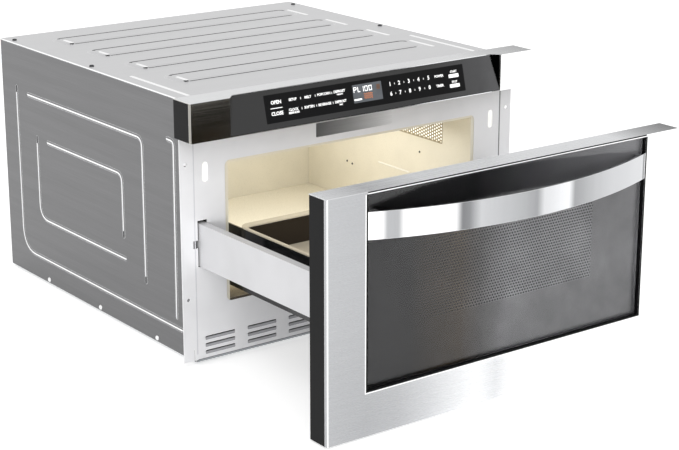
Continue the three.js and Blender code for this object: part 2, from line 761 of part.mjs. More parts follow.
// The outline of a spur gear with a tooth space on its +X side
function gearShape() {
  const base = pitchRadius * Math.cos(pressureAngle);
  const rootRadius = pitchRadius - 1.25 * gearModule;
  const tipRadius = pitchRadius + gearModule;
  const involute = (radius) => Math.sqrt((radius / base) ** 2 - 1) - Math.acos(base / radius);
  const halfPitch = Math.PI / (2 * pinionTeeth) - gearBacklash / (4 * pitchRadius);
  const halfAngle = (radius) =>
    halfPitch + involute(pitchRadius) - involute(Math.max(radius, base));
  const radii = [rootRadius, base, pitchRadius, (pitchRadius + tipRadius) / 2, tipRadius];
  const points = [];
  for (let tooth = 0; tooth < pinionTeeth; tooth += 1) {
    const centre = (tooth + 0.5) * 2 * Math.PI / pinionTeeth;
    const rise = radii.map((r) => [r, centre - halfAngle(r)]);
    const fall = radii.map((r) => [r, centre + halfAngle(r)]).reverse();
    points.push(...[...rise, ...fall].map(([r, a]) => [r * Math.cos(a), r * Math.sin(a)]));
  }
  return polygon(...points);
}

const gearCaseTop = bracketBottom - seat;
const gearCase = { half: 20, height: 18, inset: 4 };
const motorCan = { x: tabX + 22.2, radius: 16, bottom: 24, neck: 7, foot: 20 };
const hubRadius = pitchRadius - 10;

function drivePinion() {
  const gear = fromPlan(gearShape(), gearBottom, gearBottom + gearWidth);
  const hub = rod(hubRadius, gearBottom - 3, gearBottom + gearWidth + 1, 12);
  const shaft = rod(shaftRadius, gearCaseTop + running, bearingTab.z + railSheet + 4, 12);
  return join(gear, hub, shaft).translate(pinionX, pinionY, 0);
}

function driveMotor() {
  const { half, height, inset } = gearCase;
  const { x, radius, bottom, neck, foot } = motorCan;
  const low = gearCaseTop - height;
  return join(
    box(tabX + inset, pinionX + half, pinionY - half, pinionY + half, low, gearCaseTop),
    rod(radius, bottom, low + 1, 16).translate(x, pinionY, 0),
    rod(neck, foot, bottom + 1, 12).translate(x, pinionY, 0),
  );
}

// ---------------------------------------------------------------- drawer front

const keepBack = 3;            // moulding kept behind the stainless front

function doorSkin() {
  const t = skinSheet;
  const front = polygon(
    [-faceHalf, doorBottom], [faceHalf, doorBottom], [faceHalf, doorTop], [windowHalf, doorTop],
    [windowHalf, windowBottom], [-windowHalf, windowBottom], [-windowHalf, doorTop],
    [-faceHalf, doorTop],
  );
  // Folded back round the sides and the foot in one U
  const outer = faceHalf;
  const inner = faceHalf - t;
  const returns = polygon(
    [-outer, doorTop], [-outer, doorBottom], [outer, doorBottom], [outer, doorTop],
    [inner, doorTop], [inner, doorBottom + t], [-inner, doorBottom + t], [-inner, doorTop],
  );
  return join(
    fromFront(front, doorFront, doorFront + t),
    fromFront(returns, doorFront, doorFront + skinReturn),
    box(-faceHalf, faceHalf, doorFront, doorBack - seat, skinTopUnder, doorTop),
  );
}

function doorFrame() {
  const t = skinSheet + seat;
  const step = doorFront + skinReturn + seat;
  const back = doorPanelFront - seat;
  const top = skinTopUnder - seat;
  const outerBack = box(-faceHalf, faceHalf, step, back, doorBottom, top);
  const outerFront = box(-faceHalf + t, faceHalf - t, doorFront + t, step, doorBottom + t, top);
  const recess = box(-windowHalf, windowHalf, doorFront - 1, ledgeFront, windowBottom, top + 1);
  const sight = box(-windowHalf + ledgeWidth, windowHalf - ledgeWidth, ledgeFront - 1, back + 1,
    windowBottom + ledgeWidth, windowTop - ledgeWidth);
  // Pockets moulded in from behind, with cross ribs left between them
  const pocketFront = doorFront + t + keepBack;
  const behindLedge = ledgeFront + ledgeThickness;
  const wall = mouldedWall;
  const stileIn = windowHalf + wall;
  const stileOut = faceHalf - t - wall;
  const stilePockets = 4;
  const stileSpan = (top - wall - windowBottom) / stilePockets;
  const pockets = [];
  for (let i = 0; i < stilePockets; i += 1) {
    const z = windowBottom + i * stileSpan;
    for (const side of [-1, 1]) {
      const [x0, x1] = [side * stileIn, side * stileOut].sort((a, b) => a - b);
      pockets.push(box(x0, x1, pocketFront, back + 1, z, z + stileSpan - wall));
    }
  }
  const railPockets = 6;
  const railSpan = 2 * stileOut / railPockets;
  for (let i = 0; i < railPockets; i += 1) {
    const x = -stileOut + i * railSpan;
    pockets.push(box(x + wall / 2, x + railSpan - wall / 2, pocketFront, back + 1,
      doorBottom + t + wall, windowBottom - wall));
  }
  // The space behind the glass ledge, out to the stiles
  const rearSight = box(-windowHalf, windowHalf, behindLedge, back + 1,
    windowBottom, top - wall);
  const screwHoles = handleScrewPlaces.map(([x, z]) =>
    rodY(handleScrewRadius + seat, ledgeFront - 1, behindLedge + 1, x, z, 8));
  return cut(join(outerBack, outerFront), recess, sight, rearSight, ...pockets, ...screwHoles);
}

const handleScrewX = windowHalf - 7;
const handleMiddle = handleBottom + handleHeight / 2;
const handleScrewPlaces = [[-handleScrewX, handleMiddle], [handleScrewX, handleMiddle]];

function glazing(y0, y1, holeRadius) {
  const half = windowHalf - seat;
  const outline = polygon([-half, windowBottom + seat], [half, windowBottom + seat],
    [half, windowTop - seat], [-half, windowTop - seat]);
  outline.holes.push(...handleScrewPlaces.map(([x, z]) => roundHole(x, z, holeRadius)));
  return fromFront(outline, y0, y1, 3);
}

const doorGlass = () => glazing(glassFront, glassBack, handleScrewRadius + 1);
const doorScreen = () => glazing(screenFront, screenFront + screenThickness, handleScrewRadius + 0.8);

const screenField = { half: 160, bottom: 122, top: doorTop - 50.8 };
const panelInset = 3;          // inner panel inside the edge of the drawer front

function doorInnerPanel() {
  const half = faceHalf - panelInset;
  const low = doorBottom + panelInset;
  const high = skinTopUnder - panelInset;
  const outline = polygon([-half, low], [half, low], [half, high], [-half, high]);
  outline.holes.push(rectHole(-screenField.half, screenField.half, screenField.bottom, screenField.top));
  return fromFront(outline, doorPanelFront, doorBack);
}

const sealInnerHalf = cavityMouthHalf + 2.5;
const sealReach = 3;           // seal outside the top and foot of the mouth
const sealWidth = 12;
const sealThickness = 1.2;

function chokeCover() {
  const outer = sealInnerHalf + sealWidth;
  const z0 = cavityMouthBottom - sealReach;
  const z1 = cavityMouthTop + sealReach;
  const ring = roundedRect(new THREE.Shape(), -outer, outer, z0 - sealWidth, z1 + sealWidth, 14);
  ring.holes.push(roundedRect(new THREE.Path(), -sealInnerHalf, sealInnerHalf, z0, z1, 4));
  return fromFront(ring, onDoor, onDoor + sealThickness, 4);
}

// Plan of the bowed strap, with a boss at each end that stands on the glass
function handle() {
  const reach = windowHalf - seat;
  const foot = glassFront - seat;
  const radius = (reach ** 2 + handleBow ** 2) / (2 * handleBow);
  const centreY = doorFront - handleBow + radius;
  const innerRadius = radius - strapThickness;
  const bossX = reach - handleBossWidth;
  const outerAngle = Math.asin(reach / radius);
  const innerAngle = Math.asin(bossX / innerRadius);
  const plan = new THREE.Shape();
  plan.moveTo(-reach, foot);
  plan.lineTo(-reach, doorFront);
  plan.absarc(0, centreY, radius, -Math.PI / 2 - outerAngle, -Math.PI / 2 + outerAngle);
  plan.lineTo(reach, foot);
  plan.lineTo(bossX, foot);
  plan.absarc(0, centreY, innerRadius, -Math.PI / 2 + innerAngle, -Math.PI / 2 - innerAngle, true);
  plan.lineTo(-bossX, foot);
  const edge = strapEdgeRadius;
  const strap = extruded(plan, handleHeight - 2 * edge, 24, {
    bevelEnabled: true, bevelThickness: edge, bevelSize: edge, bevelOffset: -edge, bevelSegments: 1,
  }).translate(0, 0, handleBottom + edge);
  return cut(strap, ...handleScrewPlaces.map(([x, z]) =>
    rodY(handleScrewRadius + seat, foot - 9, foot + 1, x, z, 8)));
}

const hookLow = latchSlotBottom + 2;
const hookHigh = latchSlotTop - 2;
const hookTip = 24;            // how far the hook reaches into the cabinet, shut
const hookHalf = 2.5;
const hookBase = 9;

function latchHook() {
  const root = onDoor + sheet;
  const arm = polygon(
    [onDoor, hookLow], [root, hookLow], [root, hookLow + 4], [hookTip, hookLow + 4],
    [hookTip, hookLow + 10], [hookTip - 4, hookLow + 13], [hookTip - 7, hookLow + 13],
    [hookTip - 7, hookLow + 10], [root, hookHigh - 6], [root, hookHigh], [onDoor, hookHigh],
  );
  const base = box(latchSlotX - hookBase, latchSlotX + hookBase, onDoor, root,
    latchSlotBottom - 2, latchSlotTop + 2);
  return join(fromSide(arm, latchSlotX - hookHalf, latchSlotX + hookHalf), base);
}

// ---------------------------------------------------------------- drawer tub

// A U in plan, open at the drawer front, from outer and inner half widths
function tubPlan(outerHalf, outerRear, outerRadius, innerHalf, innerRear, innerRadius, front) {
  const plan = new THREE.Shape();
  plan.moveTo(outerHalf, front);
  plan.lineTo(outerHalf, outerRear - outerRadius);
  plan.absarc(outerHalf - outerRadius, outerRear - outerRadius, outerRadius, 0, Math.PI / 2);
  plan.lineTo(-outerHalf + outerRadius, outerRear);
  plan.absarc(-outerHalf + outerRadius, outerRear - outerRadius, outerRadius, Math.PI / 2, Math.PI);
  plan.lineTo(-outerHalf, front);
  plan.lineTo(-innerHalf, front);
  plan.lineTo(-innerHalf, innerRear - innerRadius);
  plan.absarc(-innerHalf + innerRadius, innerRear - innerRadius, innerRadius,
    Math.PI, Math.PI / 2, true);
  plan.lineTo(innerHalf - innerRadius, innerRear);
  plan.absarc(innerHalf - innerRadius, innerRear - innerRadius, innerRadius, Math.PI / 2, 0, true);
  plan.lineTo(innerHalf, front);
  return plan;
}

const tubInnerCorner = 10;
const wingSheet = 2.5;
const wingRoot = 2;            // where the wings leave the side walls, before the rear corners

function tubWall() {
  const full = fromPlan(tubPlan(tubHalf, tubRear, tubCorner, tubInnerHalf, tubRearInner,
    tubInnerCorner, onDoor), tubBottom, tubWallTop, 5);
  const pocket = fromPlan(tubPlan(tubHalf - tubSkin, tubRear - tubSkin, tubCorner - tubSkin,
    tubInnerHalf + tubSkin, tubRearInner + tubSkin, tubInnerCorner + tubSkin,
    onDoor + tubSkin), tubBottom - 1, tubWallTop - tubSkin, 5);
  const wing = box(tubHalf - wingSheet, tubHalf, tubRear - tubCorner - wingRoot, tubRear + tubWing,
    tubBottom, tubWallTop);
  const ledgeTop = trayTop - trayThickness - seat;
  const ledge = fromPlan(tubPlan(tubInnerHalf + 1, tubRearInner + 1, tubInnerCorner + 1,
    tubInnerHalf - trayLedge, tubRearInner - trayLedge, tubInnerCorner - trayLedge,
    onDoor), ledgeTop - tubSkin, ledgeTop, 5);
  return cut(join(full, wing, mirrored(wing), ledge), pocket);
}

function tubRim() {
  return fromPlan(tubPlan(tubHalf, tubRear, tubCorner, tubInnerHalf, tubRearInner,
    tubInnerCorner, onDoor), tubTop - rimThickness, tubTop, 5);
}

function insideTub(clearance) {
  const half = tubInnerHalf - clearance;
  const rear = tubRearInner - clearance;
  const radius = tubInnerCorner;
  const plan = new THREE.Shape();
  plan.moveTo(-half, onDoor);
  plan.lineTo(half, onDoor);
  plan.lineTo(half, rear - radius);
  plan.absarc(half - radius, rear - radius, radius, 0, Math.PI / 2);
  plan.lineTo(-half + radius, rear);
  plan.absarc(-half + radius, rear - radius, radius, Math.PI / 2, Math.PI);
  return plan;
}

const tubTray = () => fromPlan(insideTub(seat), trayTop - trayThickness, trayTop, 4);

function tubFloor() {
  const ribTop = trayTop - trayThickness - seat;
  const ribHalf = tubInnerHalf - trayLedge - 2;
  const plate = fromPlan(insideTub(seat), tubBottom, tubBottom + tubSkin, 4);
  const ribs = [];
  for (let i = 1; i <= tubRibCount; i += 1) {
    const y = i * tubRearInner / (tubRibCount + 1);
    ribs.push(box(-ribHalf, ribHalf, y - tubSkin / 2, y + tubSkin / 2, tubBottom + 1, ribTop));
  }
  return join(plate, ...ribs);
}

// ---------------------------------------------------------------- control panel

const slopeAt = (z) => -panelDepth + panelSlope * (z - panelBottom) / (panelTop - panelBottom);
const recessHalfAt = (z) => recessHalfBottom
  + (recessHalfTop - recessHalfBottom) * (z - panelBottom) / (panelTop - panelBottom);

// A slab that follows the leaning glass between two heights
function leaningSlab(inset, z0, z1, ahead, behind) {
  return hull(...[z0, z1].flatMap((z) => [-1, 1].flatMap((side) => [ahead, behind].map((dy) =>
    [side * (recessHalfAt(z) - inset), slopeAt(z) + dy, z]))));
}

function controlFascia() {
  const t = skinSheet;
  const back = panelWrap;
  const top = polygon(
    [-faceHalf, back], [-faceHalf, -panelDepth], [-recessHalfFront, -panelDepth],
    [-recessHalfTop, slopeAt(panelTop)], [recessHalfTop, slopeAt(panelTop)],
    [recessHalfFront, -panelDepth], [faceHalf, -panelDepth], [faceHalf, back],
  );
  const endFace = polygon([recessHalfBottom, panelBottom], [faceHalf, panelBottom],
    [faceHalf, panelTop], [recessHalfFront, panelTop]);
  const end = fromFront(endFace, -panelDepth, -panelDepth + t);
  const side = box(faceHalf - t, faceHalf, -panelDepth, -panelDepth + panelReturn, panelBottom, panelTop);
  const splay = hull(...[0, 1.2].flatMap((dx) => [
    [recessHalfFront + dx, -panelDepth, panelTop], [recessHalfTop + dx, slopeAt(panelTop), panelTop],
    [recessHalfBottom + dx, -panelDepth, panelBottom],
    [recessHalfBottom + dx, -panelDepth + t, panelBottom],
  ]));
  const right = join(end, side, splay);
  return join(
    fromPlan(top.clone(), panelTop - t, panelTop), right, mirrored(right),
    box(-faceHalf, faceHalf, -panelDepth, -panelDepth + panelReturn, panelBottom, panelBottom + t),
  );
}

const boardBack = -10;
const boardThickness = 1.6;
const boardInset = 117;
const boardParts = [[-54, -24, 6, 24], [10, 26, 5, 28]];   // x from and to, depth, top
const pocketDepth = 20;
const pocketWall = 3.5;
const glassClearBottom = panelBottom + skinSheet + seat;
const glassClearTop = panelTop - skinSheet - seat;

function controlHousing() {
  const t = skinSheet + seat;
  const step = -panelDepth + panelReturn + seat;
  const rearBlock = box(-faceHalf, faceHalf, step, -seat, panelBottom, panelTop - t);
  const frontBlock = box(-faceHalf + t, faceHalf - t, -panelDepth + t, step, panelBottom + t, panelTop - t);
  const behindGlass = panelGlassThickness + seat;
  const recess = hull(...[panelBottom - 4, panelTop + 4].flatMap((z) => [-1, 1].flatMap((side) => [
    [side * (recessHalfAt(z) + 2.2), slopeAt(z) + behindGlass, z],
    [side * (recessHalfFront + 5), -panelDepth - 3, z],
  ])));
  const pocket = box(-faceHalf + pocketWall, faceHalf - pocketWall, -pocketDepth, 1,
    panelBottom + pocketWall, panelTop - t - pocketWall);
  const displayWindow = box(-displayWidth / 2 - 1, displayWidth / 2 + 1, -panelDepth, -pocketDepth + 1,
    displayBottom - 1, displayBottom + displayHeight + 1);
  // A lip and two cheeks that reach back round the edge of the front frame
  const lip = box(-faceHalf, faceHalf, -pocketWall, panelWrap, bodyHeight + seat, panelTop - t);
  const cheek = box(frameHalf + seat, faceHalf, -pocketWall, panelWrap, panelBottom, panelTop - t);
  return join(cut(join(rearBlock, frontBlock), recess, pocket, displayWindow),
    lip, cheek, mirrored(cheek));
}

const controlGlass = () =>
  leaningSlab(seat, glassClearBottom, glassClearTop, 0.4, panelGlassThickness);

function displayModule() {
  const z1 = displayBottom + displayHeight;
  const behind = slopeAt(z1) + panelGlassThickness + seat;
  return box(-displayWidth / 2, displayWidth / 2, behind, boardBack - boardThickness - seat,
    displayBottom, z1);
}

function controlBoard() {
  const z0 = panelBottom + pocketWall + seat;
  const z1 = panelTop - skinSheet - seat - pocketWall - seat;
  const half = faceHalf - boardInset;
  const part = ([x0, x1, height, top]) =>
    box(x0, x1, boardBack - 0.1, boardBack + height, z0 + 12, z0 + top);
  return join(box(-half, half, boardBack - boardThickness, boardBack, z0, z1),
    ...boardParts.map(part));
}

// ---------------------------------------------------------------- inside works

const mouldWall = 1.5;         // thin walls of moulded and pressed small pieces

const waveguideBottom = cavityCeilingZ + sheet + seat;
const waveguideTop = waveguideBottom + 40;
const waveguideHalf = 45;
const waveguideFront = feedCentreY - 70;
const waveguideRear = cavityRearY + 91.7;
const magnetronY = cavityRearY + 46.7;
const antennaRadius = 9;

function waveguide() {
  const [front, rear, low, top] = [waveguideFront, waveguideRear, waveguideBottom, waveguideTop];
  return cut(
    box(-waveguideHalf, waveguideHalf, front, rear, low, top),
    box(-waveguideHalf + sheet, waveguideHalf - sheet, front + sheet, rear - sheet,
      low + sheet, top - sheet),
    box(-feedHoleX, feedHoleX, feedCentreY - feedHoleY, feedCentreY + feedHoleY, low - 1, low + 2),
    rod(antennaRadius + 3, low - 1, low + 2).translate(0, magnetronY, 0),
    rod(shaftRadius + 1, top - 2, top + 1).translate(0, feedCentreY, 0),
  );
}

const stirrerRadius = 56;
const stirrerZ = cavityCeilingZ - 12;
const stirrerHub = 8;
const stirrerBlade = { count: 3, half: 11, thickness: 1.2, tilt: 0.35 };

function stirrer() {
  const { count, half, thickness, tilt } = stirrerBlade;
  const shaft = rod(shaftRadius - 0.5, stirrerZ - 2, waveguideTop, 8);
  const hub = rod(stirrerHub, stirrerZ - 3, stirrerZ + 4, 10);
  const blade = (_, i) => box(stirrerHub / 2, stirrerRadius, -half, half, -thickness / 2, thickness / 2)
    .rotateX(tilt).rotateZ(i * 2 * Math.PI / count).translate(0, 0, stirrerZ);
  return join(shaft, hub, ...Array.from({ length: count }, blade)).translate(0, feedCentreY, 0);
}

const stirrerMotorSize = { radius: 24, height: 16, tabReach: 34, tabHalf: 8, plugHalf: 6, plugReach: 32 };

function stirrerMotor() {
  const { radius, height, tabReach, tabHalf, plugHalf, plugReach } = stirrerMotorSize;
  const base = waveguideTop + seat;
  return join(
    rod(radius, base + 1, base + height, 16),
    box(-tabReach, tabReach, -tabHalf, tabHalf, base, base + mouldWall),
    box(-plugHalf, plugHalf, radius - 4, plugReach, base + 2, base + height - 4),
  ).translate(0, feedCentreY, 0);
}

const stirrerCoverSize = { half: 78, reach: 88, below: 8, corner: 14 };

function stirrerCover() {
  const { half, reach, below, corner } = stirrerCoverSize;
  const low = stirrerZ - below;
  const outline = (inset) => roundedRect(new THREE.Shape(), -half + inset, half - inset,
    feedCentreY - reach + inset, feedCentreY + reach - inset, corner - inset);
  return cut(fromPlan(outline(0), low, cavityCeilingZ - seat, 3),
    fromPlan(outline(mouldWall), low + mouldWall, cavityCeilingZ + 1, 3));
}

const magnetronSize = { half: 40, reach: 34, height: 78, can: 17, canBelow: 14, antenna: 18 };
const magnetronFins = { count: 5, first: 16, pitch: 11, thickness: 1.2 };

function magnetron() {
  const { half, reach, height, can, canBelow, antenna } = magnetronSize;
  const { count, first, pitch, thickness } = magnetronFins;
  const top = waveguideBottom - seat;
  const low = top - height;
  const yoke = cut(
    box(-half, half, -reach, reach, low, top),
    box(-half + mouldWall, half - mouldWall, -reach - 1, reach + 1, low + mouldWall, top - mouldWall),
  );
  const fin = (_, i) => box(-half + 1, half - 1, 3 - reach, reach - 3,
    low + first + i * pitch, low + first + thickness + i * pitch);
  return join(yoke, ...Array.from({ length: count }, fin), rod(can, low - canBelow, top - 1, 12),
    rod(antennaRadius, top - 1, top + antenna, 12)).translate(0, magnetronY, 0);
}

const onPan = sheet + seat;
const transformerPlace = { x: 118, y: cavityRearY + 62.7 };
const coreSize = { half: 52, reach: 24, height: 82, foot: 60, footReach: 22, footHeight: 3 };
const coreWindow = { x: 25.5, half: 9.5, low: 20, high: 62 };
const tongueHalf = 16;

function transformerCore() {
  const { half, reach, height, foot, footReach, footHeight } = coreSize;
  const windows = [-1, 1].map((side) => box(side * coreWindow.x - coreWindow.half,
    side * coreWindow.x + coreWindow.half, -reach - 1, reach + 1,
    onPan + coreWindow.low, onPan + coreWindow.high));
  const core = cut(box(-half, half, -reach, reach, onPan, onPan + height), ...windows);
  const feet = box(-foot, foot, -footReach, footReach, onPan, onPan + footHeight);
  return join(core, feet).translate(transformerPlace.x, transformerPlace.y, 0);
}

// Coils round the core's tongue, as [from, to, build]
const coils = [[seat, 19, 17], [18, 24, 3], [23, 42 - seat, 18.5]];

function transformerCoils() {
  const { reach } = coreSize;
  const low = onPan + coreWindow.low;
  const ring = ([z0, z1, build]) => cut(
    fromPlan(roundedRect(new THREE.Shape(), -tongueHalf - build, tongueHalf + build,
      -reach - build, reach + build, 6), low + z0, low + z1, 3),
    box(-tongueHalf - seat, tongueHalf + seat, -reach - seat, reach + seat,
      low + z0 - 1, low + z1 + 1));
  return join(...coils.map(ring)).translate(transformerPlace.x, transformerPlace.y, 0);
}

const capacitorSize = { x: 24, y: cavityRearY + 54.7, half: 16, reach: 26, height: 88, corner: 15.5 };
const terminal = { radius: 4, height: 7, spread: 12 };

function hvCapacitor() {
  const { x, y, half, reach, height, corner } = capacitorSize;
  const outline = roundedRect(new THREE.Shape(), -half, half, -reach, reach, corner);
  const top = onPan + height;
  const pins = [-1, 1].map((side) => rod(terminal.radius, top - 1, top + terminal.height, 8)
    .translate(0, side * terminal.spread, 0));
  return join(fromPlan(outline, onPan, top, 4), ...pins).translate(x, y, 0);
}

const fanBack = rearPanelFront - seat;
const fanDepth = 28;
const fanHubRadius = 17;
const fanStrut = { count: 3, half: 3, depth: 4, turn: 0.5 };
const fanBlade = { count: 5, half: 12, thickness: 1.8, tilt: 0.5 };
const motorBack = fanBack - fanStrut.depth - 0.5 - seat;
const motorFront = motorBack - 8;

function fanShroud() {
  const { x, z } = fanCentre;
  const { count, half, depth, turn } = fanStrut;
  const outline = roundedRect(new THREE.Shape(), x - fanFrame, x + fanFrame, z - fanFrame, z + fanFrame, 6);
  outline.holes.push(roundHole(x, z, fanBore, 24));
  const frame = fromFront(outline, fanBack - fanDepth, fanBack, 10);
  const strut = (_, i) => box(fanHubRadius - 1, fanBore + 1, -half, half, -depth, 0)
    .rotateZ(i * 2 * Math.PI / count + turn).rotateX(Math.PI / 2).translate(x, motorBack + seat, z);
  const cup = rodY(fanHubRadius + 1, motorBack + seat, fanBack - 0.5, x, z, 14);
  return join(frame, ...Array.from({ length: count }, strut), cup);
}

function fanMotor() {
  const { x, z } = fanCentre;
  return cut(rodY(fanHubRadius - 1, motorFront, motorBack, x, z, 14),
    rodY(shaftRadius + running, motorFront - 1, motorBack - 3, x, z, 8));
}

function fanRotor() {
  const { x, z } = fanCentre;
  const { count, half, thickness, tilt } = fanBlade;
  const back = motorFront - running;
  const front = fanBack - fanDepth + 1;
  const middle = (front + back) / 2;
  const blade = (_, i) =>
    box(fanHubRadius - 3, fanBore - 2, -half, half, -thickness / 2, thickness / 2)
      .rotateX(tilt).rotateZ(i * 2 * Math.PI / count).rotateX(Math.PI / 2).translate(x, middle, z);
  return join(rodY(fanHubRadius, front, back, x, z, 14), rodY(shaftRadius, front + 1, back + 4, x, z, 8),
    ...Array.from({ length: count }, blade));
}

// The lamp's housing covers the perforations from outside the cavity
const lampPlate = { front: 66, rear: 166, low: ventBottomZ - 5, high: ventBottomZ + 38 };
const lampBox = { front: 104, rear: 148, low: ventBottomZ + 4, high: ventBottomZ + 32, depth: 24 };
const lampHolder = { radius: 5, length: 9 };

function ovenLamp() {
  const x = tabX;
  const { front, rear, low, high, depth } = lampBox;
  return join(
    box(x, x + mouldWall, lampPlate.front, lampPlate.rear, lampPlate.low, lampPlate.high),
    box(x + 1, x + depth, front, rear, low, high),
    rodX(lampHolder.radius, x + depth - 1, x + depth + lampHolder.length,
      (front + rear) / 2, (low + high) / 2, 10),
  );
}

// A guide well behind the latch slot, and two switches that its hook works
const wellHalf = 4.5;
const wellRear = 26;
const switchPlate = { inner: 9, outer: 15, depth: 2, below: 8, above: 12 };
const switchFrame = { depth: 58, below: 4, above: 8 };
const switchBodies = [[28, 2, 18], [34, 21, 34]];         // front, and low and high over the slot

function interlockSwitch() {
  const x = latchSlotX;
  const [low, high] = [latchSlotBottom, latchSlotTop];
  const { inner, outer, depth, below, above } = switchPlate;
  const back = liningFront + depth;
  const plate = box(x - inner, x + outer, liningFront, back, low - below, high + above);
  const well = box(x - wellHalf - mouldWall, x + wellHalf + mouldWall, liningFront, wellRear,
    low - mouldWall - 0.5, high + mouldWall + 0.5);
  const way = box(x - wellHalf, x + wellHalf, 0, wellRear + 1, low - 0.5, high + 0.5);
  const frame = box(x + inner, x + outer, back - 1, liningFront + switchFrame.depth,
    low - switchFrame.below, high + switchFrame.above);
  const body = ([front, z0, z1]) =>
    box(x - inner + 1, x + inner + 1, front, switchFrame.depth, low + z0, low + z1);
  return join(cut(join(plate, well), way), frame, ...switchBodies.map(body));
}

const glandBack = bodyDepth + 4;
const glandNut = { radius: 12, depth: 8 };
const cordBore = 4;

function cordGland() {
  const { x, z } = glandPlace;
  const body = join(
    rodY(glandRadius, rearPanelFront - 6, glandBack, x, z, 14),
    rodY(glandRadius + 4, bodyDepth + seat, glandBack, x, z, 14),
    rodY(glandNut.radius, rearPanelFront - glandNut.depth, rearPanelFront - seat, x, z, 14),
  );
  return cut(body, rodY(cordBore, rearPanelFront - glandNut.depth - 2, glandBack + 2, x, z, 10));
}

const powerBoardPlace = { x0: 90, x1: 180, z0: 190, z1: 270, standoff: 10, thickness: 2 };
const boardFoot = 6;
// Parts on the power board, as [x from, x to, height, z from, z to]
const powerParts = [[104, 130, 22, 206, 232], [140, 166, 16, 226, 256]];

function powerBoard() {
  const { x0, x1, z0, z1, standoff, thickness } = powerBoardPlace;
  const back = rearPanelFront - seat;
  const face = back - standoff;
  const feet = [x0 + 2, x1 - 2 - boardFoot].flatMap((x) => [z0 + 2, z1 - 2 - boardFoot].map((z) =>
    box(x, x + boardFoot, face - 1, back, z, z + boardFoot)));
  const part = ([from, to, height, low, high]) => box(from, to, face - height, face - 1, low, high);
  return join(box(x0, x1, face - thickness, face, z0, z1), ...feet, ...powerParts.map(part));
}

// ---------------------------------------------------------------- assembly

const pair = (name, geometry, look) => [
  mesh(`${name}_right`, geometry, look), mesh(`${name}_left`, mirrored(geometry), look)];

const cabinet = new THREE.Group();
cabinet.add(
  ...pair('side_panel', sidePanel(), 'bodySteel'),
  mesh('top_cover', topCover(), 'coverSteel'),
  mesh('base_pan', basePan(), 'galvanised'),
  mesh('rear_panel', rearPanel(), 'galvanised'),
  mesh('front_frame', frontFrame(), 'whitePaint'),
  mesh('cavity_wall_right', cavityWall(lampVent()), 'enamel'),
  mesh('cavity_wall_left', mirrored(cavityWall([])), 'enamel'),
  mesh('cavity_floor', cavityFloor(), 'enamel'),
  mesh('cavity_ceiling', cavityCeiling(), 'enamel'),
  mesh('cavity_rear_wall', cavityRearWall(), 'enamel'),
  mesh('slide_bracket_right', slideBracket(true), 'galvanised'),
  mesh('slide_bracket_left', mirrored(slideBracket(false)), 'galvanised'),
  ...pair('fixed_rail', fixedRail(), 'galvanised'),
  mesh('control_housing', controlHousing(), 'blackPlastic'),
  mesh('control_fascia', controlFascia(), 'stainless'),
  mesh('control_glass', controlGlass(), 'tintedGlass'),
  mesh('display_module', displayModule(), 'glossBlack'),
  mesh('control_board', controlBoard(), 'board'),
  mesh('waveguide', waveguide(), 'galvanised'),
  mesh('magnetron', magnetron(), 'galvanised'),
  mesh('stirrer_motor', stirrerMotor(), 'whitePlastic'),
  mesh('stirrer_cover', stirrerCover(), 'whitePlastic'),
  mesh('transformer_core', transformerCore(), 'bodySteel'),
  mesh('transformer_coils', transformerCoils(), 'copper'),
  mesh('hv_capacitor', hvCapacitor(), 'galvanised'),
  mesh('fan_shroud', fanShroud(), 'blackPlastic'),
  mesh('fan_motor', fanMotor(), 'galvanised'),
  mesh('drive_motor', driveMotor(), 'galvanised'),
  ...pair('interlock_switch', interlockSwitch(), 'whitePlastic'),
  mesh('oven_lamp', ovenLamp(), 'whitePlastic'),
  mesh('power_board', powerBoard(), 'board'),
  mesh('cord_gland', cordGland(), 'blackPlastic'),
  mesh('fan_rotor', fanRotor(), 'blackPlastic'),
  mesh('stirrer', stirrer(), 'galvanised'),
  mesh('drive_pinion', drivePinion(), 'nylon'),
);

const middleRails = new THREE.Group();
middleRails.position.y = -drawerOpening / 2;
middleRails.add(...pair('middle_rail', middleRail(), 'galvanised'));

const drawer = new THREE.Group();
drawer.position.y = -drawerOpening;
drawer.add(
  mesh('door_skin', doorSkin(), 'stainless'),
  mesh('door_frame', doorFrame(), 'blackPlastic'),
  mesh('door_glass', doorGlass(), 'tintedGlass'),
  mesh('door_screen', doorScreen(), 'glossBlack'),
  mesh('door_inner_panel', doorInnerPanel(), 'blackEnamel'),
  mesh('choke_cover', chokeCover(), 'blackPlastic'),
  mesh('handle', handle(), 'stainless'),
  ...pair('latch_hook', latchHook(), 'whitePlastic'),
  ...pair('drawer_arm', drawerArm(), 'whitePaint'),
  ...pair('inner_rail', innerRail(), 'galvanised'),
  mesh('drive_rack', driveRack(), 'nylon'),
  mesh('tub_wall', tubWall(), 'glossBlack'),
  mesh('tub_rim', tubRim(), 'ceramic'),
  mesh('tub_tray', tubTray(), 'ceramic'),
  mesh('tub_floor', tubFloor(), 'glossBlack'),
);

const handleFront = doorFront - handleBow - drawerOpening;
const microwaveDrawer = new THREE.Group();
microwaveDrawer.name = 'microwave_drawer';
microwaveDrawer.position.set(0, -(handleFront + glandBack) / 2, runnerHeight);
microwaveDrawer.add(cabinet, middleRails, drawer);

export default microwaveDrawer;
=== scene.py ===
"""A built-in microwave drawer, standing open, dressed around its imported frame.

Sizes are millimetres in the frame that the part is drawn in: y = 0 is the face of
the front frame, z = 0 the bottom edge of the side panels, +Y runs back into the
cabinet. Solid.build() turns them into the row frame's metres.
"""

import logging
import math
from collections.abc import Callable, Iterable, Sequence
from dataclasses import dataclass, field
from enum import Enum
from typing import Any

import bmesh
import bpy
from bpy.types import Material, Node, NodeSocket, NodeTree, Object, World
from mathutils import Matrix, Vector
from mathutils.geometry import tessellate_polygon


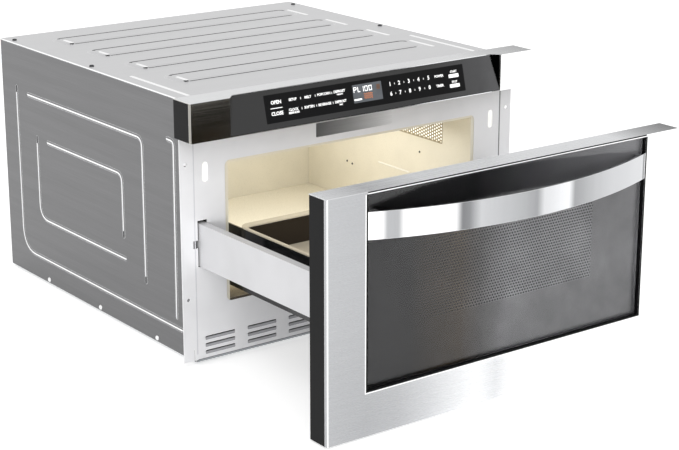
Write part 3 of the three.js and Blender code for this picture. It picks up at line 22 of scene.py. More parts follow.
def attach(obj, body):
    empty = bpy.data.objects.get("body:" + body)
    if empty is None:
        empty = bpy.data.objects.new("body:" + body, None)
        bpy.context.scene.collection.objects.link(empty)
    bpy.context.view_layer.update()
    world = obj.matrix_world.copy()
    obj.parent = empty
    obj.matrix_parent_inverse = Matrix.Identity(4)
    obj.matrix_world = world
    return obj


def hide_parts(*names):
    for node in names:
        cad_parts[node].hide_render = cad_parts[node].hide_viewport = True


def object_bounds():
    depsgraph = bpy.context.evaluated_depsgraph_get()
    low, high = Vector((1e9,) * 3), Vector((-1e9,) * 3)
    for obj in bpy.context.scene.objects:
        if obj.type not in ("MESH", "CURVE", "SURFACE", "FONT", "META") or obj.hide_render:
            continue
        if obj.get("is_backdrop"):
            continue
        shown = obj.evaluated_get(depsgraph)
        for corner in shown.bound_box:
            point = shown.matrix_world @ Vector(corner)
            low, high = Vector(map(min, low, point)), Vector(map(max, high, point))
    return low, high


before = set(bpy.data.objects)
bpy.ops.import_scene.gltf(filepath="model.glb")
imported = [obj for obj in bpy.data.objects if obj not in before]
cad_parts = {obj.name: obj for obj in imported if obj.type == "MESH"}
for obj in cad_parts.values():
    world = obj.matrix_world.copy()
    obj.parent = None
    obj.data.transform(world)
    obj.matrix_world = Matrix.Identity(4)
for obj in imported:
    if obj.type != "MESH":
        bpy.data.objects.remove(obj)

log = logging.getLogger("microwave_drawer")

NODES: dict[str, Object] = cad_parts
DRAWING_ORIGIN = Vector((0.0, -88.0, 4.0))
OPENING = 303.5
MM = 0.001
WHITE = (1.0, 1.0, 1.0, 1.0)

Point2 = tuple[float, float]
Point3 = tuple[float, float, float]
Colour = tuple[float, float, float, float]
Tones = tuple[tuple[float, str], ...]


# ------------------------------------------------------------------ small tools


def linear(hex_colour: str) -> Colour:
    """Turns an sRGB hex colour into Blender's linear colour.

    Args:
        hex_colour: Six hex digits.

    Returns:
        Linear red, green and blue, and an alpha of 1.
    """
    shares = [int(hex_colour[i : i + 2], 16) / 255 for i in (0, 2, 4)]
    curve = [s / 12.92 if s <= 0.04045 else ((s + 0.055) / 1.055) ** 2.4 for s in shares]
    return (curve[0], curve[1], curve[2], 1.0)


def empty_tree(owner: Material | World) -> NodeTree:
    """Turns on the nodes of a material or world.

    Args:
        owner: The material or world.

    Returns:
        Its node tree, emptied.
    """
    owner.use_nodes = True
    owner.node_tree.nodes.clear()
    return owner.node_tree


def add_node(
    tree: NodeTree, kind: str, inputs: dict[str | int, Any] | None = None, **settings: Any
) -> Node:
    """Adds a shader node with its settings and links.

    Args:
        tree: The node tree it goes in.
        kind: The node's type name, after Blender's "ShaderNode".
        inputs: Socket names or numbers, each with a value, the socket that feeds it, or
            the node whose first output feeds it.
        **settings: The node's own properties.

    Returns:
        The new node.
    """
    node = tree.nodes.new(f"ShaderNode{kind}")
    for name, value in settings.items():
        setattr(node, name, value)
    for key, value in (inputs or {}).items():
        source = value.outputs[0] if isinstance(value, Node) else value
        if isinstance(source, NodeSocket):
            tree.links.new(source, node.inputs[key])
        else:
            node.inputs[key].default_value = source
    return node


def place_object(name: str, data: Any) -> Object:
    """Puts a mesh, curve, camera or lamp in the scene.

    Args:
        name: The object's name.
        data: What it shows.

    Returns:
        The object.
    """
    made = bpy.data.objects.new(name, data)
    bpy.context.scene.collection.objects.link(made)
    return made


def arc(centre: Point2, radius: float, start: float, step: float, count: int) -> list[Point2]:
    """Points along a circle.

    Args:
        centre: The circle's middle.
        radius: Its radius.
        start: The first point's angle, in radians.
        step: The angle from point to point.
        count: How many points.

    Returns:
        The points.
    """
    angles = [start + i * step for i in range(count)]
    return [(centre[0] + radius * math.cos(a), centre[1] + radius * math.sin(a)) for a in angles]


def rectangle(x0: float, x1: float, y0: float, y1: float) -> list[Point2]:
    """The outline of a rectangle between two places each way, counterclockwise."""
    return [(x0, y0), (x1, y0), (x1, y1), (x0, y1)]


def rounded_rectangle(
    x0: float, x1: float, y0: float, y1: float, radius: float, steps: int = 5
) -> list[Point2]:
    """The outline of a rectangle with round corners.

    Args:
        x0: Low side.
        x1: High side.
        y0: Lower side.
        y1: Upper side.
        radius: The corners' radius.
        steps: Straight steps in each corner.

    Returns:
        The outline, counterclockwise.
    """
    turn = math.pi / 2
    low_left, low_right, high_right, high_left = rectangle(
        x0 + radius, x1 - radius, y0 + radius, y1 - radius
    )
    outline = []
    for i, middle in enumerate((low_right, high_right, high_left, low_left)):
        outline += arc(middle, radius, (i - 1) * turn, turn / steps, steps + 1)
    return outline


# ------------------------------------------------------------------ mesh making


class Plane(Enum):
    """The plane that an outline is drawn in. The value puts (u, v, depth) in x, y, z."""

    PLAN = (0, 1, 2)
    FRONT = (0, 2, 1)
    SIDE = (1, 2, 0)

    def place(self, *drawn: float) -> Point3:
        """The point whose place in the plane and depth across it are (u, v, depth)."""
        return tuple(drawn[self.value.index(axis)] for axis in range(3))


@dataclass
class Solid:
    """A mesh in the making, in drawing millimetres, with the finish zone of each face."""

    points: list[Point3] = field(default_factory=list)
    faces: list[tuple[int, ...]] = field(default_factory=list)
    zones: list[int] = field(default_factory=list)

    def add(
        self,
        points: Iterable[Point3],
        faces: Iterable[Sequence[int]],
        zones: Sequence[int] = (),
    ) -> "Solid":
        """Adds points and the faces between them.

        Args:
            points: The points.
            faces: Each face as its points' numbers.
            zones: Each face's finish zone, where it isn't 0 for all.

        Returns:
            The solid.
        """
        base = len(self.points)
        self.points += [tuple(p) for p in points]
        added = [tuple(base + i for i in face) for face in faces]
        self.faces += added
        self.zones += zones or [0] * len(added)
        return self

    def box(self, x0: float, x1: float, y0: float, y1: float, z0: float, z1: float) -> "Solid":
        """Adds a box between two places each way, and returns the solid."""
        return self.loft([[(x, y, z) for x, y in rectangle(x0, x1, y0, y1)] for z in (z0, z1)])

    def prism(
        self,
        outline: Sequence[Point2],
        plane: Plane,
        low: float,
        high: float,
        holes: Sequence[Sequence[Point2]] = (),
    ) -> "Solid":
        """Adds an outline given depth, with holes right through it.

        Args:
            outline: The outer outline.
            plane: The plane it is drawn in.
            low: Where the depth starts.
            high: Where the depth ends.
            holes: Outlines of the holes.

        Returns:
            The solid.
        """
        loops = [outline, *holes]
        flat = [p for loop in loops for p in loop]
        caps = tessellate_polygon([[Vector((u, v, 0)) for u, v in loop] for loop in loops])
        count = len(flat)
        points = [plane.place(u, v, depth) for depth in (low, high) for u, v in flat]
        faces = [tuple(t) for t in caps] + [tuple(i + count for i in reversed(t)) for t in caps]
        start = 0
        for loop in loops:
            size = len(loop)
            for i in range(size):
                a, b = start + i, start + (i + 1) % size
                faces.append((a, b, b + count, a + count))
            start += size
        return self.add(points, faces)

    def loft(
        self,
        rings: Sequence[Sequence[Point3]],
        zones: Callable[[int, int], int] | None = None,
    ) -> "Solid":
        """Adds a closed skin through rings of equal length.

        Args:
            rings: The rings, from one end to the other.
            zones: Gives the finish zone of the face after ring r and ring point i.

        Returns:
            The solid.
        """
        size, last = len(rings[0]), len(rings) - 1
        places = [(r, i) for r in range(last) for i in range(size)]
        faces: list[Sequence[int]] = []
        for r, i in places:
            near, far, after = r * size, (r + 1) * size, (i + 1) % size
            faces.append((near + i, near + after, far + after, far + i))
        faces += [range(size - 1, -1, -1), range(last * size, last * size + size)]
        marked = [zones(r, i) if zones else 0 for r, i in places]
        return self.add([p for ring in rings for p in ring], faces, [*marked, 0, 0])

    def turned(
        self, profile: Sequence[Point2], centre: Point3, axis: Point3, sides: int = 20
    ) -> "Solid":
        """Adds a turned form.

        Args:
            profile: (radius, height) pairs from one end to the other.
            centre: Where height 0 is on the axis.
            axis: The axis's direction.
            sides: Faces round it.

        Returns:
            The solid.
        """
        turn = Vector((0, 0, 1)).rotation_difference(Vector(axis)).to_matrix()
        rings = []
        for radius, height in profile:
            circle = arc((0, 0), radius, 0, 2 * math.pi / sides, sides)
            rings.append([turn @ Vector((u, v, height)) + Vector(centre) for u, v in circle])
        return self.loft(rings)

    def ridge(
        self,
        path: Sequence[Vector],
        outward: Point3,
        section: Sequence[Point2],
        nose: float,
        crown: Sequence[int] = (),
        tips: Sequence[int] = (),
    ) -> "Solid":
        """Adds a pressed ridge along a flat path, running out to nothing at each end.

        Args:
            path: Points along its middle.
            outward: The direction it stands out in.
            section: (across, out) pairs of its cross-section.
            nose: How far its ends take to run out.
            crown: The section's sides, by their first point, that are in zone 1.
            tips: The ends whose crown is in zone 2, 0 the first and 1 the last.

        Returns:
            The solid.
        """
        out = Vector(outward)
        first = (path[0] - path[1]).normalized()
        last = (path[-1] - path[-2]).normalized()
        shares = [(1.0, 0.12), (0.75, 0.62), (0.4, 0.9)]
        stations = [(path[0] + first * nose * far, size) for far, size in shares]
        stations += [(p, 1.0) for p in path]
        stations += [(path[-1] + last * nose * far, size) for far, size in reversed(shares)]
        rings = []
        for i, (point, size) in enumerate(stations):
            before = stations[max(i - 1, 0)][0]
            after = stations[min(i + 1, len(stations) - 1)][0]
            across = out.cross(after - before).normalized()
            rings.append([point + across * (a * size) + out * (o * size) for a, o in section])
        ends = {0: range(4), 1: range(len(rings) - 5, len(rings) - 1)}
        dark = {r for tip in tips for r in ends[tip]}
        return self.loft(rings, lambda r, i: int(i in crown) * (2 if r in dark else 1))

    def mirrored(self) -> "Solid":
        """The same solid on the other side of x = 0."""
        points = [(-x, y, z) for x, y, z in self.points]
        return Solid(points, [f[::-1] for f in self.faces], self.zones)

    def build(
        self,
        name: str,
        finish: "Finish | Sequence[Finish]",
        slot: str,
        body: str = "cabinet",
        replaces: Sequence[str] = (),
        edge: float = 0.0,
        smooth: float = 32.0,
    ) -> None:
        """Makes the solid a piece of the scene.

        Args:
            name: The piece's name.
            finish: What it is finished in, or one finish for each zone.
            slot: The record's material slot; not used.
            body: The CAD body it rides on.
            replaces: CAD nodes that it stands for.
            edge: The radius that its edges are rounded to, in millimetres.
            smooth: The steepest fold that is shaded round, in degrees.
        """
        mesh = bpy.data.meshes.new(name)
        verts = [(Vector(p) + DRAWING_ORIGIN) * MM for p in self.points]
        mesh.from_pydata(verts, [], self.faces)
        for coat in [finish] if isinstance(finish, Finish) else finish:
            mesh.materials.append(coat.material())
        mesh.polygons.foreach_set("material_index", self.zones)
        work = bmesh.new()
        work.from_mesh(mesh)
        bmesh.ops.remove_doubles(work, verts=work.verts, dist=1e-7)
        bmesh.ops.recalc_face_normals(work, faces=work.faces)
        work.to_mesh(mesh)
        work.free()
        piece = place_object(name, mesh)
        shade(piece, edge, smooth)
        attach(piece, body)
        if replaces:
            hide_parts(*replaces)
        log.info("piece %s on %s", name, body)


def shade(piece: Object, edge: float, smooth: float) -> None:
    """Rounds a piece's edges and shades its gentle folds round.

    Args:
        piece: The piece or CAD node.
        edge: The edges' radius in millimetres, or 0 to leave them.
        smooth: The steepest fold that is shaded round, in degrees.
    """
    if edge:
        bevel = piece.modifiers.new("rounded_edges", "BEVEL")
        bevel.width = edge * MM
        bevel.segments = 2
        bevel.limit_method = "ANGLE"
        bevel.angle_limit = math.radians(smooth)
    piece.data.shade_smooth()
    piece.data.set_sharp_from_angle(angle=math.radians(smooth))


# ------------------------------------------------------------------ patterns


class Grain(Enum):
    """Which way a sheet was rolled or brushed."""

    ACROSS = 0
    DEPTH = 1
    UPRIGHT = 2


def cloud(
    tree: NodeTree, sizes: float | Sequence[float], detail: float = 2.0, rough: float = 0.5
) -> Node:
    """Soft shapeless variation, from 0 to 1.

    Args:
        tree: The material's tree.
        sizes: The patches' size in millimetres, or their size along X, Y and Z.
        detail: How many finer layers it has.
        rough: How strong the finer layers are.

    Returns:
        The pattern.
    """
    place = add_node(tree, "TexCoord")
    spans = sizes if isinstance(sizes, Sequence) else [sizes] * 3
    scale = [1 / (span * MM) for span in spans]
    scaled = add_node(tree, "Mapping", {"Vector": place.outputs["Object"], "Scale": scale})
    inputs = {"Vector": scaled, "Scale": 1.0, "Detail": detail, "Roughness": rough}
    return add_node(tree, "TexNoise", inputs)


def streaks(tree: NodeTree, grain: Grain, width: float, length: float) -> Node:
    """Long fine lines from rolling or brushing, from 0 to 1.

    Args:
        tree: The material's tree.
        grain: The lines' direction.
        width: A line's width in millimetres.
        length: A line's length in millimetres.

    Returns:
        The pattern.
    """
    sizes = [width] * 3
    sizes[grain.value] = length
    return cloud(tree, sizes, 3.0, 0.65)


def worn_edges(tree: NodeTree, radius: float) -> Node:
    """Where a surface folds, as handling rubs and burnishes it there.

    Args:
        tree: The material's tree.
        radius: How far from an edge it reaches, in millimetres.

    Returns:
        A pattern that is 1 on an edge and 0 away from it.
    """
    rounded = add_node(tree, "Bevel", {"Radius": radius * MM}, samples=4)
    flat = add_node(tree, "NewGeometry").outputs["True Normal"]
    facing = add_node(tree, "VectorMath", {0: rounded, 1: flat}, operation="DOT_PRODUCT")
    return add_node(tree, "MapRange", {0: facing.outputs["Value"], 1: 0.995, 2: 0.9})


def graded(tree: NodeTree, axis: str, stops: Tones, source: str = "Object") -> Node:
    """A colour that changes softly along one axis of the appliance.

    Args:
        tree: The material's tree.
        axis: X, Y or Z.
        stops: Places along the axis, each with its hex colour, in order.
        source: Object where the places are millimetres, or Normal where they are
            shares of the surface's own direction.

    Returns:
        The colour.
    """
    place = add_node(tree, "TexCoord")
    split = add_node(tree, "SeparateXYZ", {0: place.outputs[source]})
    unit = MM if source == "Object" else 1.0
    start, end = stops[0][0], stops[-1][0]
    ends = {1: start * unit, 2: end * unit}
    scale = add_node(tree, "ValToRGB", {0: add_node(tree, "MapRange", {0: split.outputs[axis], **ends})})
    elements = scale.color_ramp.elements
    elements.remove(elements[1])
    elements[0].position, elements[0].color = 0.0, linear(stops[0][1])
    for at, colour in stops[1:]:
        elements.new((at - start) / (end - start)).color = linear(colour)
    return scale


def mixed(
    tree: NodeTree,
    pattern: Any,
    first: Any,
    second: Any,
    span: Point2 = (0.0, 1.0),
    most: float = 1.0,
) -> NodeSocket:
    """One colour that gives way to another as a pattern rises.

    Args:
        tree: The material's tree.
        pattern: The pattern.
        first: The colour where it is low.
        second: The colour where it is high.
        span: The pattern's values that count as low and high.
        most: The second colour's greatest share.

    Returns:
        The colour.
    """
    share = add_node(tree, "MapRange", {0: pattern, 1: span[0], 2: span[1], 4: most})
    return add_node(tree, "Mix", {0: share, 6: first, 7: second}, data_type="RGBA").outputs[2]


def varied(tree: NodeTree, colour: Any, pattern: Any, span: Point2, shares: Point2) -> Node:
    """A colour made darker and lighter by a pattern.

    Args:
        tree: The material's tree.
        colour: The colour.
        pattern: The pattern.
        span: The pattern's values that count as low and high.
        shares: What the colour is multiplied by where it is low and high.

    Returns:
        The colour.
    """
    ends = {1: span[0], 2: span[1], 3: shares[0], 4: shares[1]}
    share = add_node(tree, "MapRange", {0: pattern, **ends})
    base = colour[:3] if isinstance(colour, tuple) else colour
    return add_node(tree, "VectorMath", {0: base, "Scale": share}, operation="SCALE")


# ------------------------------------------------------------------ finishes


@dataclass(frozen=True)
class Finish:
    """What a surface is made of and how it was made. Subclasses say how it is shaded."""

    name: str
    colour: str
    roughness: float

    def dress(self, tree: NodeTree) -> dict[str, Any]:
        """The shader's inputs, with the nodes that feed them."""
        raise NotImplementedError

    def tint(self, share: float, lift: float = 0.0) -> Colour:
        """The finish's colour multiplied by a share, and lifted."""
        red, green, blue = (min(1.0, c * share + lift) for c in linear(self.colour)[:3])
        return (red, green, blue, 1.0)

    def grained(
        self, tree: NodeTree, grain: Node, span: Point2, spread: Point2, depth: float, strength: float
    ) -> dict[str, Any]:
        """A surface whose gloss and relief both follow a grain.

        Args:
            tree: The material's tree.
            grain: The grain.
            span: The grain's values that count as low and high.
            spread: What is added to the roughness where it is low and high.
            depth: The grain's depth in millimetres.
            strength: How much of the relief is kept.

        Returns:
            The shader's inputs.
        """
        ends = {1: span[0], 2: span[1], 3: self.roughness + spread[0], 4: self.roughness + spread[1]}
        relief = {"Height": grain, "Distance": depth * MM, "Strength": strength}
        return {
            "Roughness": add_node(tree, "MapRange", {0: grain, **ends}),
            "Normal": add_node(tree, "Bump", relief),
        }

    def material(self) -> Material:
        """The finish as a Blender material.

        Returns:
            The material, which is made once.
        """
        made = bpy.data.materials.get(self.name)
        if not made:
            made = bpy.data.materials.new(self.name)
            tree = empty_tree(made)
            plain = {"Base Color": linear(self.colour), "Roughness": self.roughness}
            shader = add_node(tree, "BsdfPrincipled", {**plain, **self.dress(tree)})
            add_node(tree, "OutputMaterial", {"Surface": shader})
        return made


@dataclass(frozen=True)
class BrushedSteel(Finish):
    """Steel sheet rolled, then brushed by an abrasive belt along one axis."""

    grain: Grain
    contrast: float = 0.12
    line: float = 1.1
    length: float = 150.0
    painted_light_tones: Tones = ()
    top_face_painted_light: Tones = ()
    worn: float = 0.9
    burnish: str = "F6F7F8"

    def dress(self, tree: NodeTree) -> dict[str, Any]:
        """Fine lines along the grain, that catch the light as thin dark and bright strokes.

        Args:
            tree: The material's tree.

        Returns:
            The shader's inputs.
        """
        # A real belt's scratches are about 0.1 mm wide. They are drawn ten times as
        # wide, since finer ones don't show in the render.
        lines = streaks(tree, self.grain, self.line, self.length)
        bands = streaks(tree, self.grain, self.line * 9, self.length * 4)
        # Tones along X, where given, are painted light and reflection.
        base: Any = graded(tree, "X", self.painted_light_tones) if self.painted_light_tones else linear(self.colour)
        if self.top_face_painted_light:
            # The top face gets tones of its own along X, as painted light and shade.
            facing = graded(tree, "Z", ((0.6, "000000"), (0.8, "FFFFFF")), "Normal")
            base = mixed(tree, facing, base, graded(tree, "X", self.top_face_painted_light))
        for pattern, part in ((lines, self.contrast), (bands, self.contrast * 0.5)):
            base = varied(tree, base, pattern, (0.3, 0.7), (1 - part, 1 + part))
        rubbed = linear(self.burnish)
        return {
            "Base Color": mixed(tree, worn_edges(tree, self.worn), base, rubbed, most=0.85),
            "Metallic": 1.0,
            **self.grained(tree, lines, (0.25, 0.75), (-0.05, 0.07), 0.012, 0.35),
        }


@dataclass(frozen=True)
class GalvanisedSteel(Finish):
    """Steel sheet dipped in zinc, whose crystals show as faint spangles."""

    spangle: float = 7.0

    def dress(self, tree: NodeTree) -> dict[str, Any]:
        """Patches of slightly different greys and gloss, some 7 mm across.

        Args:
            tree: The material's tree.

        Returns:
            The shader's inputs.
        """
        place = add_node(tree, "TexCoord").outputs["Object"]
        cells = {"Vector": place, "Scale": 1 / (self.spangle * MM)}
        crystals = add_node(tree, "TexVoronoi", cells).outputs["Color"]
        grey = add_node(tree, "RGBToBW", {0: crystals})
        dull = {0: grey, 3: self.roughness - 0.06, 4: self.roughness + 0.1}
        relief = {"Height": cloud(tree, 1.6), "Distance": 0.02 * MM, "Strength": 0.3}
        return {
            "Base Color": mixed(tree, grey, self.tint(0.86), linear(self.colour)),
            "Metallic": 1.0,
            "Roughness": add_node(tree, "MapRange", dull),
            "Normal": add_node(tree, "Bump", relief),
        }


@dataclass(frozen=True)
class StoveEnamel(Finish):
    """Steel sheet sprayed with powder or glaze and fired."""

    peel: float = 2.2
    coat: float = 0.2
    wear: float = 0.25
    pebble: float = 0.03
    painted_light_tones: Tones = ()

    def dress(self, tree: NodeTree) -> dict[str, Any]:
        """A faint orange peel and a thinner, lighter coat where the sheet folds.

        Args:
            tree: The material's tree.

        Returns:
            The shader's inputs.
        """
        # Tones along Y, where given, are painted shadow.
        if self.painted_light_tones:
            body: Any = graded(tree, "Y", self.painted_light_tones)
        else:
            deep = self.tint(0.94)
            body = mixed(tree, cloud(tree, 60.0), deep, linear(self.colour), (0.35, 0.65))
        thin = self.tint(1.1, 0.01)
        return {
            "Base Color": mixed(tree, worn_edges(tree, 1.0), body, thin, most=self.wear),
            "Coat Weight": self.coat,
            "Coat Roughness": 0.12,
            **self.grained(
                tree, cloud(tree, self.peel, 1.0), (0.3, 0.7), (-0.04, 0.04), self.pebble, 0.35
            ),
        }


@dataclass(frozen=True)
class MouldedPlastic(Finish):
    """Thermoplastic moulded against an etched or a polished tool."""

    etch: float = 0.8
    depth: float = 0.02
    coat: float = 0.0
    specular: float = 0.5
    painted_light_tones: Tones = ()

    def dress(self, tree: NodeTree) -> dict[str, Any]:
        """The etched grain of the mould, and edges rubbed a little paler.

        Args:
            tree: The material's tree.

        Returns:
            The shader's inputs.
        """
        # Tones along X, where given, are painted reflection.
        tone: Any = graded(tree, "X", self.painted_light_tones) if self.painted_light_tones else linear(self.colour)
        body = varied(tree, tone, cloud(tree, 35.0), (0.4, 0.6), (0.88, 1.0))
        rubbed = self.tint(1.25, 0.008)
        return {
            "Base Color": mixed(tree, worn_edges(tree, 0.6), body, rubbed, most=0.5),
            "Coat Weight": self.coat,
            "IOR": 1.53,
            "Specular IOR Level": self.specular,
            **self.grained(
                tree, cloud(tree, self.etch), (0.3, 0.7), (-0.04, 0.06), self.depth, 0.5
            ),
        }


@dataclass(frozen=True)
class TintedGlass(Finish):
    """Toughened float glass, tinted through, polished and coated against glare."""

    # The coat is magnesium fluoride, whose index is lower than the glass's 1.52.
    index: float = 1.38

    def dress(self, tree: NodeTree) -> dict[str, Any]:
        """A dark see-through body with a hard bright reflection and a slight roller wave.

        Args:
            tree: The material's tree.

        Returns:
            The shader's inputs.
        """
        haze = self.tint(0.9)
        wave = {"Height": cloud(tree, 120.0, 0.0), "Distance": 0.02 * MM, "Strength": 0.2}
        return {
            "Base Color": mixed(tree, cloud(tree, 90.0), haze, linear(self.colour), (0.4, 0.6)),
            "Transmission Weight": 1.0,
            "IOR": self.index,
            "Normal": add_node(tree, "Bump", wave),
        }


@dataclass(frozen=True)
class DottedScreen(Finish):
    """Thin steel sheet, perforated in staggered rows and lacquered grey."""

    hole: str = "020202"
    pitch: float = 4.6
    radius: float = 1.5
    field_painted_light: float = 1.45
    specular: float = 0.12
    painted_light_tones: Tones = ()
    head: Tones = ()
    half: float = 151.5
    bottom: float = 132.0
    top: float = 262.0

    def dots(self, tree: NodeTree, x: NodeSocket, z: NodeSocket) -> Node:
        """The holes, in rows that step by half a pitch.

        Args:
            tree: The material's tree.
            x: Metres across.
            z: Metres up.

        Returns:
            A pattern that is 1 in a hole and 0 between them.
        """
        sums: dict[str, Node] = {}
        for name, operation, *values in (
            ("row", "DIVIDE", z, self.pitch * math.sin(math.pi / 3) * MM),
            ("number", "FLOOR", "row"),
            ("odd", "FLOORED_MODULO", "number", 2.0),
            ("column", "DIVIDE", x, self.pitch * MM),
            ("shifted", "MULTIPLY_ADD", "odd", 0.5, "column"),
            ("across", "FRACT", "shifted"),
            ("up", "FRACT", "row"),
            ("aside", "SUBTRACT", "across", 0.5),
            ("above", "SUBTRACT", "up", 0.5),
        ):
            inputs = {i: sums[v] if isinstance(v, str) else v for i, v in enumerate(values)}
            sums[name] = add_node(tree, "Math", inputs, operation=operation)
        spot = add_node(tree, "CombineXYZ", {0: sums["aside"], 1: sums["above"]})
        away = add_node(tree, "VectorMath", {0: spot}, operation="LENGTH").outputs["Value"]
        reach = self.radius / self.pitch
        return add_node(tree, "MapRange", {0: away, 1: reach * 0.8, 2: reach * 1.15, 3: 1.0, 4: 0.0})

    def dress(self, tree: NodeTree) -> dict[str, Any]:
        """Rows of dark holes in a grey sheet, inside the field that the window shows.

        Args:
            tree: The material's tree.

        Returns:
            The shader's inputs.
        """
        # A real screen's holes are 1 mm at 1.5 mm pitch. These are nearly three times
        # that, so that they stay apart in the render.
        place = add_node(tree, "TexCoord").outputs["Object"]
        split = add_node(tree, "SeparateXYZ", {0: place})
        x, z = split.outputs["X"], split.outputs["Z"]
        side = add_node(tree, "Math", {0: x}, operation="ABSOLUTE")
        bottom, top = ((level + DRAWING_ORIGIN.z) * MM for level in (self.bottom, self.top))
        inside: Any = 1.0
        for value, edge, soft in ((side, self.half * MM, MM), (z, bottom, -MM), (z, top, MM)):
            part = add_node(tree, "MapRange", {0: value, 1: edge, 2: edge + soft, 3: 1.0, 4: 0.0})
            inside = add_node(tree, "Math", {0: part, 1: inside}, operation="MULTIPLY")
        shown = add_node(tree, "Math", {0: self.dots(tree, x, z), 1: inside}, operation="MULTIPLY")
        # The sheet's tones along X are painted shade and reflection, and the field that the window shows
        # is painted lighter, as painted light.
        sheet = varied(tree, graded(tree, "X", self.painted_light_tones), cloud(tree, 40.0), (0.3, 0.7), (0.85, 1.15))
        field_lit = varied(tree, sheet, inside, (0.0, 1.0), (1.0, self.field_painted_light))
        dotted = mixed(tree, shown, field_lit, linear(self.hole))
        # The band above the window is painted near black, lighter to the right, as painted reflection.
        head = graded(tree, "X", self.head)
        return {
            "Base Color": mixed(tree, z, dotted, head, (top, top + 4 * MM)),
            "Specular IOR Level": self.specular,
        }


@dataclass(frozen=True)
class Glow(Finish):
    """A lit surface, such as a display's segments or a diffuser over a lamp."""

    strength: float = 1.0

    def dress(self, tree: NodeTree) -> dict[str, Any]:
        """An even light with a faint unevenness of its backlight.

        Args:
            tree: The material's tree.

        Returns:
            The shader's inputs.
        """
        dim = self.tint(0.88)
        lit = mixed(tree, cloud(tree, 18.0), dim, linear(self.colour), (0.4, 0.6))
        return {"Base Color": lit, "Emission Color": lit, "Emission Strength": self.strength}


@dataclass(frozen=True)
class WoundWire(Finish):
    """Lacquered copper wire wound in layers."""

    wire: float = 2.0

    def dress(self, tree: NodeTree) -> dict[str, Any]:
        """Close turns, each a rounded line that catches the light.

        Args:
            tree: The material's tree.

        Returns:
            The shader's inputs.
        """
        place = add_node(tree, "TexCoord").outputs["Object"]
        waves = {"Vector": place, "Scale": 0.314 / (self.wire * MM)}
        turns = add_node(tree, "TexWave", waves, bands_direction="Z").outputs["Fac"]
        relief = {"Height": turns, "Distance": 0.6 * MM, "Strength": 0.8}
        return {
            "Base Color": mixed(tree, turns, self.tint(0.45), linear(self.colour)),
            "Metallic": 1.0,
            "Normal": add_node(tree, "Bump", relief),
        }


@dataclass(frozen=True)
class MaskedBoard(Finish):
    """Glass-fibre board under green solder mask, with copper tracks below it."""

    track: float = 3.0

    def dress(self, tree: NodeTree) -> dict[str, Any]:
        """Paler lines and blocks where the mask lies over copper.

        Args:
            tree: The material's tree.

        Returns:
            The shader's inputs.
        """
        colours = {
            "Color1": linear(self.colour), "Color2": linear("2A6238"), "Mortar": linear("4F9A62"),
        }
        place = add_node(tree, "TexCoord").outputs["Object"]
        sizes = {"Vector": place, "Scale": 0.25 / (self.track * MM), "Mortar Size": 0.03}
        tracks = add_node(tree, "TexBrick", {**sizes, **colours}, offset=0.37)
        relief = {"Height": tracks.outputs["Fac"], "Distance": 0.05 * MM, "Strength": 0.5}
        return {
            "Base Color": tracks,
            "Coat Weight": 0.5,
            "Normal": add_node(tree, "Bump", relief),
        }


